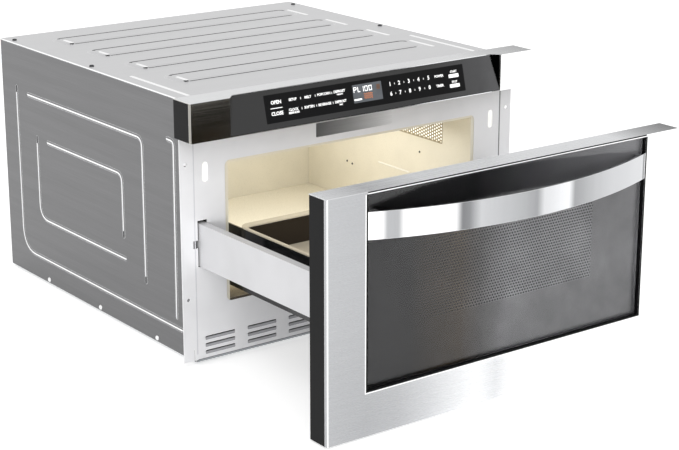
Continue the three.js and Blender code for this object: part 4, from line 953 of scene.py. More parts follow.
class Stock:
    """The finishes that the appliance is made in."""

    # Brushed stainless gives a cool satin grey with fine lines and soft reflections. Its tones
    # across the front and on its top face are painted reflection, light and shade.
    STAINLESS = BrushedSteel(
        "stainless_steel_belt_brushed", "D6D7D9", 0.27, Grain.ACROSS, 0.03,
        painted_light_tones=(
            (-303.0, "B2B3B5"), (-241.0, "AEAFB1"), (-190.0, "B6B7B9"), (-140.0, "CCCDCF"),
            (-60.0, "F0F1F2"), (-25.0, "DCDDDF"), (20.0, "FCFCFC"), (303.0, "FFFFFF"),
        ),
        top_face_painted_light=(
            (-303.0, "D0D1D3"), (-232.0, "A4A5A7"), (-150.0, "CACBCD"), (190.0, "D2D3D5"),
            (250.0, "8E8F91"), (303.0, "464749"),
        ),
    )
    # The fascia's tones along X are painted reflection: warm grey at the left, a black band and a white
    # end at the right; its top face has painted light and shade of its own.
    FASCIA = BrushedSteel(
        "stainless_steel_fine_brushed_folded", "DADBDD", 0.16, Grain.ACROSS, 0.03,
        painted_light_tones=(
            (-303.0, "9C9992"), (-232.0, "8C8983"), (-229.0, "DADBDD"), (222.0, "DADBDD"),
            (225.0, "0A0A0A"), (240.5, "0E0E0E"), (241.5, "FFFFFF"), (303.0, "FFFFFF"),
        ),
        top_face_painted_light=((-303.0, "D0D1D2"), (180.0, "C4C5C6"), (303.0, "7C7D7F")),
    )
    # Folded stainless edges and the side screws are painted near white, as painted highlight lines.
    EDGE_HIGHLIGHT = BrushedSteel("stainless_steel_edge_painted_highlight", "FCFCFC", 0.35, Grain.UPRIGHT, 0.01)
    # The strap is bent from polished strip; its light and grey bands along it are painted reflections.
    STRAP = BrushedSteel(
        "stainless_strip_fine_brushed", "CDCFD1", 0.2, Grain.UPRIGHT, 0.03, 1.6,
        painted_light_tones=(
            (-240.0, "FCFCFC"), (-225.0, "FCFCFC"), (-217.0, "A9AAAC"), (-203.0, "A9AAAC"),
            (-193.0, "FCFCFC"), (-129.0, "F0F0F1"), (-119.0, "7A7B7D"), (-109.0, "848587"),
            (-92.0, "BCBDBF"), (-30.0, "A9AAAC"), (-3.0, "98999B"), (9.0, "CBCCCE"),
            (54.0, "E4E5E7"), (66.0, "98999B"), (110.0, "B2B3B5"), (150.0, "BEBFC1"),
            (231.0, "C8C9CB"), (234.0, "707173"), (236.0, "767779"), (238.0, "D0D1D3"),
            (240.0, "C4C5C7"),
        ),
    )
    # Aluminised sheet has a fine visible rolling grain along the depth.
    BODY = BrushedSteel(
        "aluminised_sheet_rolled", "757576", 0.36, Grain.DEPTH, 0.1, 1.3, 110.0, worn=1.5
    )
    # The crowns of pressed beads, and the top cover's dashes and hems, are painted near white
    # as painted highlights.
    BEAD_HIGHLIGHT = BrushedSteel("aluminised_sheet_bead_painted_highlight", "FAFAFA", 0.3, Grain.DEPTH, 0.02)
    # The cover's sheet is rolled smoother, and reads as an even satin grey.
    COVER = BrushedSteel(
        "steel_sheet_satin_rolled", "CBCBCC", 0.4, Grain.ACROSS, 0.03, 1.6, 200.0, worn=1.5
    )
    # Pressed creases and the beads' tips are painted dark, as painted shade.
    CREASE_SHADE = BrushedSteel(
        "steel_sheet_crease_painted_shade", "353536", 0.5, Grain.ACROSS, 0.05, worn=0.1, burnish="353536"
    )
    # Satin aluminium mirrors softly; its grey left end and white right end are painted reflection.
    PLATE = BrushedSteel(
        "aluminium_plate_satin", "B9BBBD", 0.55, Grain.ACROSS, 0.08, 0.7, 60.0,
        painted_light_tones=((-70.0, "7C7D7F"), (-10.0, "B4B5B7"), (67.0, "F4F4F5")),
    )
    # Zinc is a cool mid grey in faint spangles, finer on plated screws.
    ZINC = GalvanisedSteel("steel_sheet_hot_dip_galvanised", "A9ADB0", 0.42)
    SCREW = GalvanisedSteel("screw_steel_zinc_plated", "C9CBCD", 0.3, 2.0)
    SCREW_DARK = GalvanisedSteel("screw_steel_phosphated", "48494B", 0.4, 2.0)
    # A stack of thin sheets shows as dark lines.
    LAMINATION = BrushedSteel(
        "silicon_steel_laminated", "5B5C5E", 0.5, Grain.UPRIGHT, 0.35, 0.9, 90.0, burnish="8A8B8D"
    )
    # Powder coat gives an even pale grey with a barely pebbled gloss.
    FRAME_WHITE = StoveEnamel("steel_powder_coated_white", "F6F6F8", 0.42, wear=0.8)
    ARM_GREY = StoveEnamel("steel_powder_coated_pale_grey", "CACACC", 0.42, wear=0.9)
    # Fold lines are painted dark at the right and pale at the left, as painted shade.
    FOLD_SHADE = StoveEnamel("steel_powder_coated_fold_painted_shade", "6C6C70", 0.42)
    SOFT_FOLD_SHADE = StoveEnamel("steel_powder_coated_soft_fold_painted_shade", "DEDEE2", 0.42)
    # The air-slot plates are painted grey, as painted shade.
    SLOT_SHADE = StoveEnamel("steel_powder_coated_slot_painted_shade", "A8A8AC", 0.5)
    INNER_BLACK = StoveEnamel("steel_vitreous_enamelled_black", "161618", 0.3)
    # Oven enamel is glassier, and cream.
    OVEN_CREAM = StoveEnamel("steel_vitreous_enamelled_cream", "F0EAD9", 0.3, 1.4, 0.3, pebble=0.006)
    # The floor's enamel is painted dark brown at its front, as painted shadow under the tub.
    FLOOR_PAINTED_SHADOW = StoveEnamel(
        "steel_vitreous_enamelled_painted_shadow", "F0EAD9", 0.3, 1.4, 0.3, pebble=0.006,
        painted_light_tones=(
            (-88.0, "3A2E20"), (-66.0, "5E4F3A"), (-40.0, "B4A88E"), (-20.0, "F0EAD9"),
            (340.0, "F0EAD9"),
        ),
    )
    VENT_CREAM = StoveEnamel(
        "steel_vitreous_enamelled_pierced", "A89C80", 0.4, 1.4, 0.1, pebble=0.006
    )
    # The ledges are painted paler than the cavity, as a painted highlight.
    LEDGE_HIGHLIGHT = StoveEnamel("steel_vitreous_enamelled_ledge_painted_highlight", "FFFCF2", 0.25, 6.0, 0.6)
    # Polished glass ceramic is the glossiest of the creams.
    RIM_CREAM = StoveEnamel("glass_ceramic_cream_polished", "EADFC8", 0.22, 4.0, 0.5, 0.4)
    # Black ABS from an etched tool has a soft sheen with a fine grain.
    ABS_BLACK = MouldedPlastic("abs_black_etch_moulded", "0C0C0D", 0.42, specular=0.1)
    ABS_WHITE = MouldedPlastic("abs_white_moulded", "E4E2DA", 0.42)
    # Polypropylene from a polished tool is glossy, and matt from an etched one.
    TUB_BLACK = MouldedPlastic("polypropylene_black_gloss_moulded", "101011", 0.14, 3.0, 0.008, 0.2, 0.4)
    DARK_LINER = MouldedPlastic("polypropylene_brown_black_moulded", "2E251B", 0.3, specular=0.3)
    SEAL = MouldedPlastic("polypropylene_black_matt_moulded", "232325", 0.5)
    # Nylon is milky, and rubber takes up nearly all light.
    NYLON = MouldedPlastic("nylon_natural_moulded", "E6E1D2", 0.45, 1.2)
    GASKET = MouldedPlastic("rubber_black_moulded", "060606", 0.5, specular=0.1)
    # Coated glass lets the screen behind it show, under a thin even reflection.
    DOOR_GLASS = TintedGlass("float_glass_grey_tinted_coated", "D6D6D8", 0.02)
    # Float glass painted on its back is black with a mirror gloss. Film over it is duller.
    # Its black is graded lighter towards the right end, as painted reflection.
    PANEL_GLASS = MouldedPlastic(
        "float_glass_back_painted_black", "1A1A1B", 0.05, 30.0, 0.002, specular=0.55,
        painted_light_tones=((-241.0, "121213"), (100.0, "161617"), (205.0, "3C3C3E"), (230.0, "4E4E50")),
    )
    FILM = MouldedPlastic("polyester_film_black_printed", "161617", 0.35, 1.5, 0.004, specular=0.06)
    # The lacquered sheet is painted dark at the left, brown where the tub would show, and grey
    # beyond, as painted shade and reflection; the band above the window is painted near black,
    # lighter to the right, as painted reflection.
    SCREEN = DottedScreen(
        "steel_sheet_perforated_lacquered", "808080", 0.4,
        painted_light_tones=(
            (-241.0, "1E1E20"), (-165.0, "242322"), (-140.0, "40382E"), (-80.0, "605444"),
            (-45.0, "7E7C7A"), (0.0, "B4B4B4"), (241.0, "B4B4B4"),
        ),
        head=(
            (-241.0, "2A2A2A"), (-60.0, "3E3E3F"), (60.0, "868687"), (200.0, "CCCCCD"),
            (241.0, "D8D8D9"),
        ),
    )
    # Lit and milky surfaces glow a little, so that they read clear and flat.
    INK = Glow("legend_white_backlit", "FFFFFF", 0.55, 0.45)
    # The interlock switches glow, as painted light for light through the latch slots.
    ACETAL_PAINTED_GLOW = Glow("acetal_painted_glow", "FAFAF8", 0.4, 0.3)
    LCD = Glow("display_glass_backlit_grey", "54585D", 0.2, 0.25)
    SEGMENT = Glow("display_segment_white_lit", "FFFFFF", 0.4, 0.9)
    ICON = Glow("display_icon_orange_lit", "E8833A", 0.4, 0.8)
    DIM = Glow("display_mark_brown_dimmed", "5E4436", 0.4, 0.2)
    LAMP = Glow("lamp_diffuser_glass_frosted", "FFFCF4", 0.5, 1.0)
    # Lacquered wire is a warm copper in close lines, and solder mask a deep glossy green.
    COPPER = WoundWire("copper_wire_lacquered_wound", "A8612F", 0.32)
    BOARD = MaskedBoard("glass_fibre_board_solder_masked", "2C6B3C", 0.35)


# ------------------------------------------------------------------ studio


@dataclass(frozen=True)
class Lamp:
    """A soft rectangular lamp: its place, what it points at, its metres and its watts."""

    name: str
    stand: Point3
    aim: Point3
    size: Point2
    power: float
    seen: bool = True

    def build(self) -> None:
        """Puts the lamp in the scene."""
        data = bpy.data.lights.new(self.name, "AREA")
        data.shape = "RECTANGLE"
        data.size, data.size_y = self.size
        data.energy = self.power
        lamp = place_object(self.name, data)
        lamp.location = self.stand
        ray = Vector(self.aim) - Vector(self.stand)
        lamp.rotation_euler = ray.to_track_quat("-Z", "Y").to_euler()
        lamp.visible_camera = lamp.visible_glossy = self.seen


@dataclass
class Studio:
    """The camera, lamps, world and floor."""

    focal_px: float = 1824.34
    width_px: float = 679.0
    sensor: float = 36.0
    stand: Point3 = (-1.5431, -2.1250, 0.9331)
    yaw: float = 36.626
    pitch: float = 16.927
    floor_half: float = 30.0
    daylight: float = 0.86
    floor_lift: float = 0.5
    lamps: tuple[Lamp, ...] = (
        Lamp("key", (-2.6, -2.4, 3.2), (0.0, 0.0, 0.15), (2.4, 2.4), 30.0),
        Lamp("fill", (3.2, -1.6, 2.2), (0.0, -0.1, 0.15), (2.0, 2.6), 14.0),
        Lamp("low_fill", (-2.5, -1.9, 0.45), (-0.2, -0.1, 0.1), (1.8, 0.8), 34.0, False),
        Lamp("oven_light", (0.0, 0.1, 0.262), (0.0, 0.1, 0.0), (0.38, 0.34), 0.56, False),
    )

    def camera(self) -> None:
        """Puts the camera where the photograph was taken from."""
        data = bpy.data.cameras.new("camera")
        data.sensor_width = self.sensor
        data.lens = self.focal_px * self.sensor / self.width_px
        data.clip_start, data.clip_end = 0.05, 200.0
        stand = place_object("camera", data)
        stand.location = self.stand
        stand.rotation_euler = (math.radians(90 - self.pitch), 0.0, math.radians(-self.yaw))
        bpy.context.scene.camera = stand

    @staticmethod
    def direct(tree: NodeTree) -> Any:
        """Tells the rays that show the background from those that light the object.

        Args:
            tree: The world's or floor's tree.

        Returns:
            1 for a ray from the camera, a mirror or glass, and 0 for any other.
        """
        rays = add_node(tree, "LightPath")
        share: Any = 0.0
        for kind in ("Camera", "Glossy", "Transmission"):
            inputs = {0: share, 1: rays.outputs[f"Is {kind} Ray"]}
            share = add_node(tree, "Math", inputs, operation="MAXIMUM")
        return share

    def world(self) -> None:
        """A plain pale world, white where it is seen or mirrored."""
        made = bpy.data.worlds.new("studio")
        bpy.context.scene.world = made
        tree = empty_tree(made)
        strength = add_node(tree, "MapRange", {0: self.direct(tree), 3: self.daylight})
        light = add_node(tree, "Background", {"Color": WHITE, "Strength": strength})
        add_node(tree, "OutputWorld", {"Surface": light})

    def floor(self) -> None:
        """A white floor that keeps the object's shadow and mirrors as white."""
        half = self.floor_half
        mesh = bpy.data.meshes.new("floor")
        corners = [(x, y, 0) for x, y in rectangle(-half, half, -half, half)]
        mesh.from_pydata(corners, [], [(0, 1, 2, 3)])
        made = bpy.data.materials.new("studio_floor_matt_painted")
        mesh.materials.append(made)
        tree = empty_tree(made)
        place = add_node(tree, "TexCoord").outputs["Object"]
        grain = add_node(tree, "TexNoise", {"Vector": place, "Scale": 2.0, "Detail": 1.0})
        tone = add_node(tree, "MapRange", {0: grain, 3: 0.78, 4: 0.82})
        matt = add_node(tree, "BsdfDiffuse", {"Color": tone})
        white = add_node(tree, "Emission", {"Color": WHITE, "Strength": self.floor_lift})
        lifted = add_node(tree, "AddShader", {0: matt, 1: white})
        shown = add_node(tree, "MixShader", {0: self.direct(tree), 1: matt, 2: lifted})
        add_node(tree, "OutputMaterial", {"Surface": shown})
        place_object("floor", mesh)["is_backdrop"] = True

    def build(self) -> None:
        """Makes the whole studio."""
        self.camera()
        self.world()
        self.floor()
        for lamp in self.lamps:
            lamp.build()
        bpy.context.scene.view_settings.view_transform = "Standard"


# ------------------------------------------------------------------ shared pieces


def dress(names: Iterable[str], finish: Finish, edge: float = 0.0) -> None:
    """Gives CAD nodes their finish.

    Args:
        names: The nodes.
        finish: Their finish.
        edge: The radius that their edges are rounded to, in millimetres.
    """
    for name in names:
        node = NODES[name]
        node.data.materials.clear()
        node.data.materials.append(finish.material())
        shade(node, edge, 32.0)
        log.info("node %s in %s", name, finish.name)


def both(stem: str) -> list[str]:
    """The names of a right and left pair of nodes."""
    return [f"{stem}_right", f"{stem}_left"]


@dataclass
class PanScrew:
    """A self-tapping pan-head screw with a cross recess."""

    radius: float = 3.7
    height: float = 1.9
    arm: float = 2.1
    slot: float = 0.55

    def add(self, solid: Solid, centre: Point3, axis: Point3) -> None:
        """Adds one screw's head to a solid.

        Args:
            solid: The mesh it goes in.
            centre: The middle of its seat.
            axis: The way its head stands.
        """
        r, h = self.radius, self.height
        dome = [(r, -0.2), (r, h * 0.35), (r * 0.9, h * 0.7), (r * 0.74, h * 0.93)]
        solid.turned(dome, centre, axis, 24)
        turn = Vector((0, 0, 1)).rotation_difference(Vector(axis)).to_matrix()
        a, s = self.arm, self.slot
        cross = [
            (a, s), (s, s), (s, a), (-s, a), (-s, s), (-a, s),
            (-a, -s), (-s, -s), (-s, -a), (s, -a), (s, -s), (a, -s),
        ]
        rim = arc((0, 0), r * 0.76, 0, math.pi / 12, 24)
        top = Solid().prism(rim, Plane.PLAN, h * 0.9, h, [cross])
        solid.add([turn @ Vector(p) + Vector(centre) for p in top.points], top.faces)


def screws(
    name: str,
    places: Iterable[tuple[Point3, Point3]],
    finish: Finish = Stock.SCREW,
    body: str = "cabinet",
    screw: PanScrew | None = None,
) -> None:
    """Builds a set of screws as one piece.

    Args:
        name: The piece's name.
        places: Each screw's seat and the way its head stands.
        finish: What they are plated with.
        body: The CAD body it rides on.
        screw: The kind of screw.
    """
    solid = Solid()
    for centre, axis in places:
        (screw or PanScrew()).add(solid, centre, axis)
    solid.build(name, finish, "galvanised", body)


# ------------------------------------------------------------------ cabinet


@dataclass
class CabinetShell:
    """The steel box: side panels, top cover, base pan and rear panel."""

    half: float = 278.1
    sheet: float = 1.0
    front: float = 1.3
    depth: float = 562.0
    height: float = 372.9
    wall_top: float = 371.6
    flange: float = 15.0
    bead: float = 3.5
    bead_height: float = 0.9
    tip: float = 8.0
    crown: tuple[int, ...] = (4, 5)
    beads: tuple[tuple[Point2, Point2, Point2, float, tuple[int, ...]], ...] = (
        ((514, 303), (514, 37.5), (37, 37.5), 40, (0,)),
        ((476, 297.5), (132, 297.5), (132, 84), 14, (1,)),
        ((452, 233), (452, 104), (190, 104), 25, (0,)),
        ((417, 232), (192, 232), (192, 138), 14, (1,)),
        ((62.5, 310.5), (46.5, 310), (49.5, 54), 7, ()),
    )
    hem: tuple[Point2, ...] = ((-0.9, -0.2), (-0.7, 0.25), (0.0, 0.45), (0.7, 0.25), (0.9, -0.2))
    plateaus: tuple[float, ...] = (117.5, 228.9, 340.3, 451.7)
    plateau_wide: float = 50.0
    plateau_half: float = 221.0
    plateau_corner: float = 15.0
    plateau_height: float = 1.6
    plateau_slope: float = 4.0
    foot_crease: float = 2.4
    crest_crease: float = 4.4
    # The dashes' crowns are painted near white, as painted highlights at the plateaus' ends.
    dashes: tuple[Point3, ...] = ((-209, 3, 26), (229.5, -11, 42))
    edge_bead: float = 256.0
    side_screws: tuple[float, ...] = (105, 270, 433)
    top_screws: tuple[tuple[float, ...], ...] = ((-267.5, 267.5), (20, 288, 534))
    rear_screws: tuple[tuple[float, ...], ...] = ((-264, 0, 264), (14, 358))

    def bead_section(self) -> list[Point2]:
        """The rounded cross-section of a pressed bead.

        Returns:
            (across, out) pairs.
        """
        w, h = self.bead, self.bead_height
        across = [-1.0, -0.85, -0.6, -0.34, 0.0, 0.34, 0.6, 0.85, 1.0]
        crown = [(w * a, h * (0.5 + 0.5 * math.cos(math.pi * a))) for a in across]
        return [(-w, -0.3), *crown, (w, -0.3)]

    def bead_path(self, start: Point2, corner: Point2, end: Point2, radius: float) -> list[Vector]:
        """The middle line of a bead on the right side panel.

        Args:
            start: Its first end, as (y, z).
            corner: Where its legs would meet.
            end: Its other end.
            radius: How far before the corner its bend starts.

        Returns:
            Points along it.
        """
        a, c, b = (Vector((self.half, *p)) for p in (start, corner, end))
        to_a, to_b = (a - c).normalized(), (b - c).normalized()
        bend = []
        for i in range(15):
            t = i / 14
            legs = (c + to_a * radius) * (1 - t) ** 2 + (c + to_b * radius) * t**2
            bend.append(legs + c * 2 * t * (1 - t))
        return [a, a - to_a * self.tip, *bend, b - to_b * self.tip, b]

    def side_panels(self) -> None:
        """Both side panels, with their beads and the bend along their top edge."""
        inner, top = self.half - self.sheet, self.wall_top
        across, along = (inner - self.flange, inner + 0.4), (self.front, self.depth - 1.3)
        panel = Solid().box(inner, self.half, self.front, self.depth, 0.0, top)
        panel.box(*across, *along, top - self.sheet, top)
        for start, corner, end, radius, tips in self.beads:
            path = self.bead_path(start, corner, end, radius)
            panel.ridge(path, (1, 0, 0), self.bead_section(), 3.5, self.crown, tips)
        # The beads' crowns are painted near white as highlights, and their tips dark as shade.
        steel = (Stock.BODY, Stock.BEAD_HIGHLIGHT, Stock.CREASE_SHADE)
        for solid, name in zip((panel, panel.mirrored()), both("side_panel")):
            solid.build(f"pressed_{name}", steel, "cabinet_steel", "cabinet", [name], 0.25, 40)

    def plateau(self, solid: Solid, y0: float) -> None:
        """Adds one pressed plateau, its sides rising in a soft curve.

        Args:
            solid: The cover's mesh.
            y0: Where the plateau starts.
        """
        slope, rise = self.plateau_slope, self.plateau_height
        steps = [(-self.foot_crease, -0.2), (-self.foot_crease, 0.03), (-0.2, 0.03)]
        for share in (0.0, 0.2, 0.45, 0.7, 0.9, 1.0):
            steps.append((slope * share, rise * (0.5 - 0.5 * math.cos(math.pi * share))))
        steps.append((slope + self.crest_crease, rise))
        rings = []
        for inset, level in steps:
            half, y1 = self.plateau_half - inset, y0 + self.plateau_wide - inset
            corner = self.plateau_corner - inset
            outline = rounded_rectangle(-half, half, y0 + inset, y1, corner, 8)
            rings.append([(x, y, self.height + level) for x, y in outline])
        solid.loft(rings, self.plateau_zone)

    @staticmethod
    def plateau_zone(ring: int, point: int) -> int:
        """The finish zone of a plateau's face.

        Args:
            ring: The face's step, from the foot at 0 to the crest.
            point: Its place round the outline, whose straight right, rear, left and
                front sides are 8, 17, 26 and 35.

        Returns:
            2 where a crease is painted dark as shade, or else 0.
        """
        front = point == 35 and 1 <= ring <= 3
        rear = 9 <= point <= 22 and ring == 8
        return 2 if front or rear else 0

    def top_cover(self) -> None:
        """The top cover with its plateaus, edge beads and folded side edges."""
        # Dashes, bead crowns and hems are painted near white as highlights; creases dark as shade.
        top, up, bright = self.height, (0, 0, 1), range(2, 8)
        cover, hems = Solid(), Solid()
        cover.box(-self.half, self.half, self.front, self.depth, top - self.sheet, top)
        for y0 in self.plateaus:
            self.plateau(cover, y0)
            for x, start, end in self.dashes:
                level = top + (self.plateau_height if x < 0 else 0.0)
                path = [Vector((x, y0 + y, level)) for y in (start, (start + end) / 2, end)]
                cover.ridge(path, up, self.bead_section(), 3.0, bright)
        for side in (-1, 1):
            path = [Vector((side * self.edge_bead, y, top)) for y in (43, 100, 192)]
            cover.ridge(path, up, self.bead_section(), 3.5, bright)
            path = [Vector((side * self.half, y, top - 0.6)) for y in (3, 280, 558)]
            hems.ridge(path, (side, 0, 0), self.hem, 1.0)
        hems.build("top_cover_hems", Stock.BEAD_HIGHLIGHT, "cover_steel")
        steel = (Stock.COVER, Stock.BEAD_HIGHLIGHT, Stock.CREASE_SHADE)
        cover.build("pressed_top_cover", steel, "cover_steel", "cabinet", ["top_cover"], 0.0, 40)

    def build(self) -> None:
        """Makes the shell."""
        self.side_panels()
        self.top_cover()
        dress(["base_pan", "rear_panel"], Stock.ZINC, 0.25)
        dress(["cord_gland"], Stock.ABS_BLACK, 0.4)
        seats = [((s * self.half, y, 6.0), (s, 0, 0)) for s in (-1, 1) for y in self.side_screws]
        # The side screws are painted near white, as painted highlights.
        screws("side_screws", seats, Stock.EDGE_HIGHLIGHT)
        across, along = self.top_screws
        seats = [((x, y, self.height), (0, 0, 1)) for x in across for y in along]
        screws("top_screws", seats, Stock.SCREW_DARK)
        across, up = self.rear_screws
        seats = [((x, self.depth, z), (0, 1, 0)) for x in across for z in up]
        screws("rear_screws", seats)


@dataclass
class FrontFrame:
    """The frame round the cavity mouth, with fold lines and air-slot plates painted as shade, and a bare
    plate whose grey-to-white grading is painted reflection.
    """

    fold: float = 276.0
    line: float = 1.9
    fold_foot: float = 12.0
    fold_head: float = 326.5
    foot_fold: tuple[float, ...] = (-275.0, 275.0, 3.4, 4.3)
    proud: float = 0.12
    slot_start: float = -262.8
    slot_length: float = 50.0
    slot_heights: tuple[float, ...] = (12.4, 22.9, 33.4)
    slot_groups: int = 7
    group_pitch: float = 71.1
    plug: Point3 = (-288.7, 0.0, 289.4)
    plate: tuple[float, ...] = (-70.4, 66.7, 294.0, 314.7, 1.5)

    def blades(self) -> None:
        """Grey plates in the lower part of each air slot, standing for the pressed blades, painted grey
        as shade.
        """
        solid = Solid()
        for group in range(self.slot_groups):
            x0 = self.slot_start + group * self.group_pitch + 0.4
            for z in self.slot_heights:
                outline = rounded_rectangle(x0, x0 + self.slot_length - 0.8, z - 2.8, z + 1.2, 1.2, 4)
                solid.prism(outline, Plane.FRONT, 0.12, 0.3)
        solid.build("air_slot_painted_shade", Stock.SLOT_SHADE, "white_enamel")

    def build(self) -> None:
        """Makes the frame's pieces."""
        dress(["front_frame"], Stock.FRAME_WHITE, 0.2)
        half = self.line / 2
        # The fold lines are painted shade: dark at the right fold and the foot, pale at the left.
        sides = []
        for x in (self.fold, -self.fold):
            strip = rectangle(x - half, x + half, self.fold_foot, self.fold_head)
            sides.append(Solid().prism(strip, Plane.FRONT, -self.proud, -0.01))
        sides[0].prism(rectangle(*self.foot_fold), Plane.FRONT, -self.proud, -0.01)
        sides[0].build("frame_fold_painted_shade", Stock.FOLD_SHADE, "white_enamel")
        sides[1].build("frame_soft_fold_painted_shade", Stock.SOFT_FOLD_SHADE, "white_enamel")
        self.blades()
        button = [(2.5, -0.3), (2.5, 0.3), (1.9, 0.7), (0.9, 0.85)]
        plug = Solid().turned(button, self.plug, (0, -1, 0))
        plug.build("frame_hole_plug", Stock.FRAME_WHITE, "white_enamel")
        plate = Solid().prism(rounded_rectangle(*self.plate), Plane.FRONT, -0.14, -0.02)
        plate.build("bare_plate", Stock.PLATE, "stainless")


@dataclass
class CavityLiner:
    """The enamelled oven cavity, with the vented field over its lamp."""

    wall: float = 220.0
    field_front: float = 68.0
    field_bottom: float = 226.0
    columns: int = 22
    rows: int = 7
    pitch: float = 5.2
    hole: float = 1.75
    far_screws: tuple[Point2, ...] = ((313, 147), (123, 202))
    near_screw: Point2 = (299, 145)
    ledge: float = 163.0

    def vent(self) -> None:
        """The perforated field on the right wall, with the lit lamp glass behind it."""
        front, bottom, back_face = self.field_front, self.field_bottom, self.wall - 0.05
        back = front + self.columns * self.pitch
        top = bottom + self.rows * self.pitch
        holes = []
        for c in range(self.columns):
            for r in range(self.rows):
                middle = (front + (c + 0.5) * self.pitch, bottom + (r + 0.5 + 0.5 * (c % 2)) * self.pitch)
                holes.append(arc(middle, self.hole, math.pi / 8, math.pi / 4, 8))
        outline = rounded_rectangle(front, back, bottom, top + self.pitch / 2, 1.0, 3)
        sheet = Solid().prism(outline, Plane.SIDE, self.wall - 0.6, back_face, holes)
        sheet.build("lamp_vent", Stock.VENT_CREAM, "cavity_enamel")
        outline = rounded_rectangle(front + 1, back - 1, bottom + 3, top - 0.5, 2)
        glow = Solid().prism(outline, Plane.SIDE, self.wall - 0.2, self.wall - 0.04)
        glow.build("lamp_diffuser", Stock.LAMP, "white_plastic")

    def build(self) -> None:
        """Makes the cavity's pieces."""
        walls = [*both("cavity_wall"), "cavity_ceiling", "cavity_rear_wall"]
        dress(walls, Stock.OVEN_CREAM, 0.2)
        # The floor's front is painted dark brown, as painted shadow under the tub.
        dress(["cavity_floor"], Stock.FLOOR_PAINTED_SHADOW, 0.2)
        dress(["stirrer_cover"], Stock.ABS_WHITE, 0.5)
        self.vent()
        seats = [((s * self.wall, *p), (-s, 0, 0)) for s in (1, -1) for p in self.far_screws]
        seats.append(((self.wall, *self.near_screw), (-1, 0, 0)))
        small = PanScrew(1.7, 1.0, 1.0, 0.3)
        screws("cavity_screws", seats, Stock.SCREW_DARK, screw=small)
        section = [(-1.6, -0.3), (-1.3, 0.3), (-0.6, 0.7), (0.6, 0.7), (1.3, 0.3), (1.6, -0.3)]
        ledges = Solid()
        for side in (-1, 1):
            path = [Vector((side * self.wall, y, self.ledge)) for y in (152, 190, 227)]
            ledges.ridge(path, (-side, 0, 0), section, 3.0)
        ledges.build("cavity_ledges", Stock.LEDGE_HIGHLIGHT, "cavity_enamel")


# ------------------------------------------------------------------ control panel


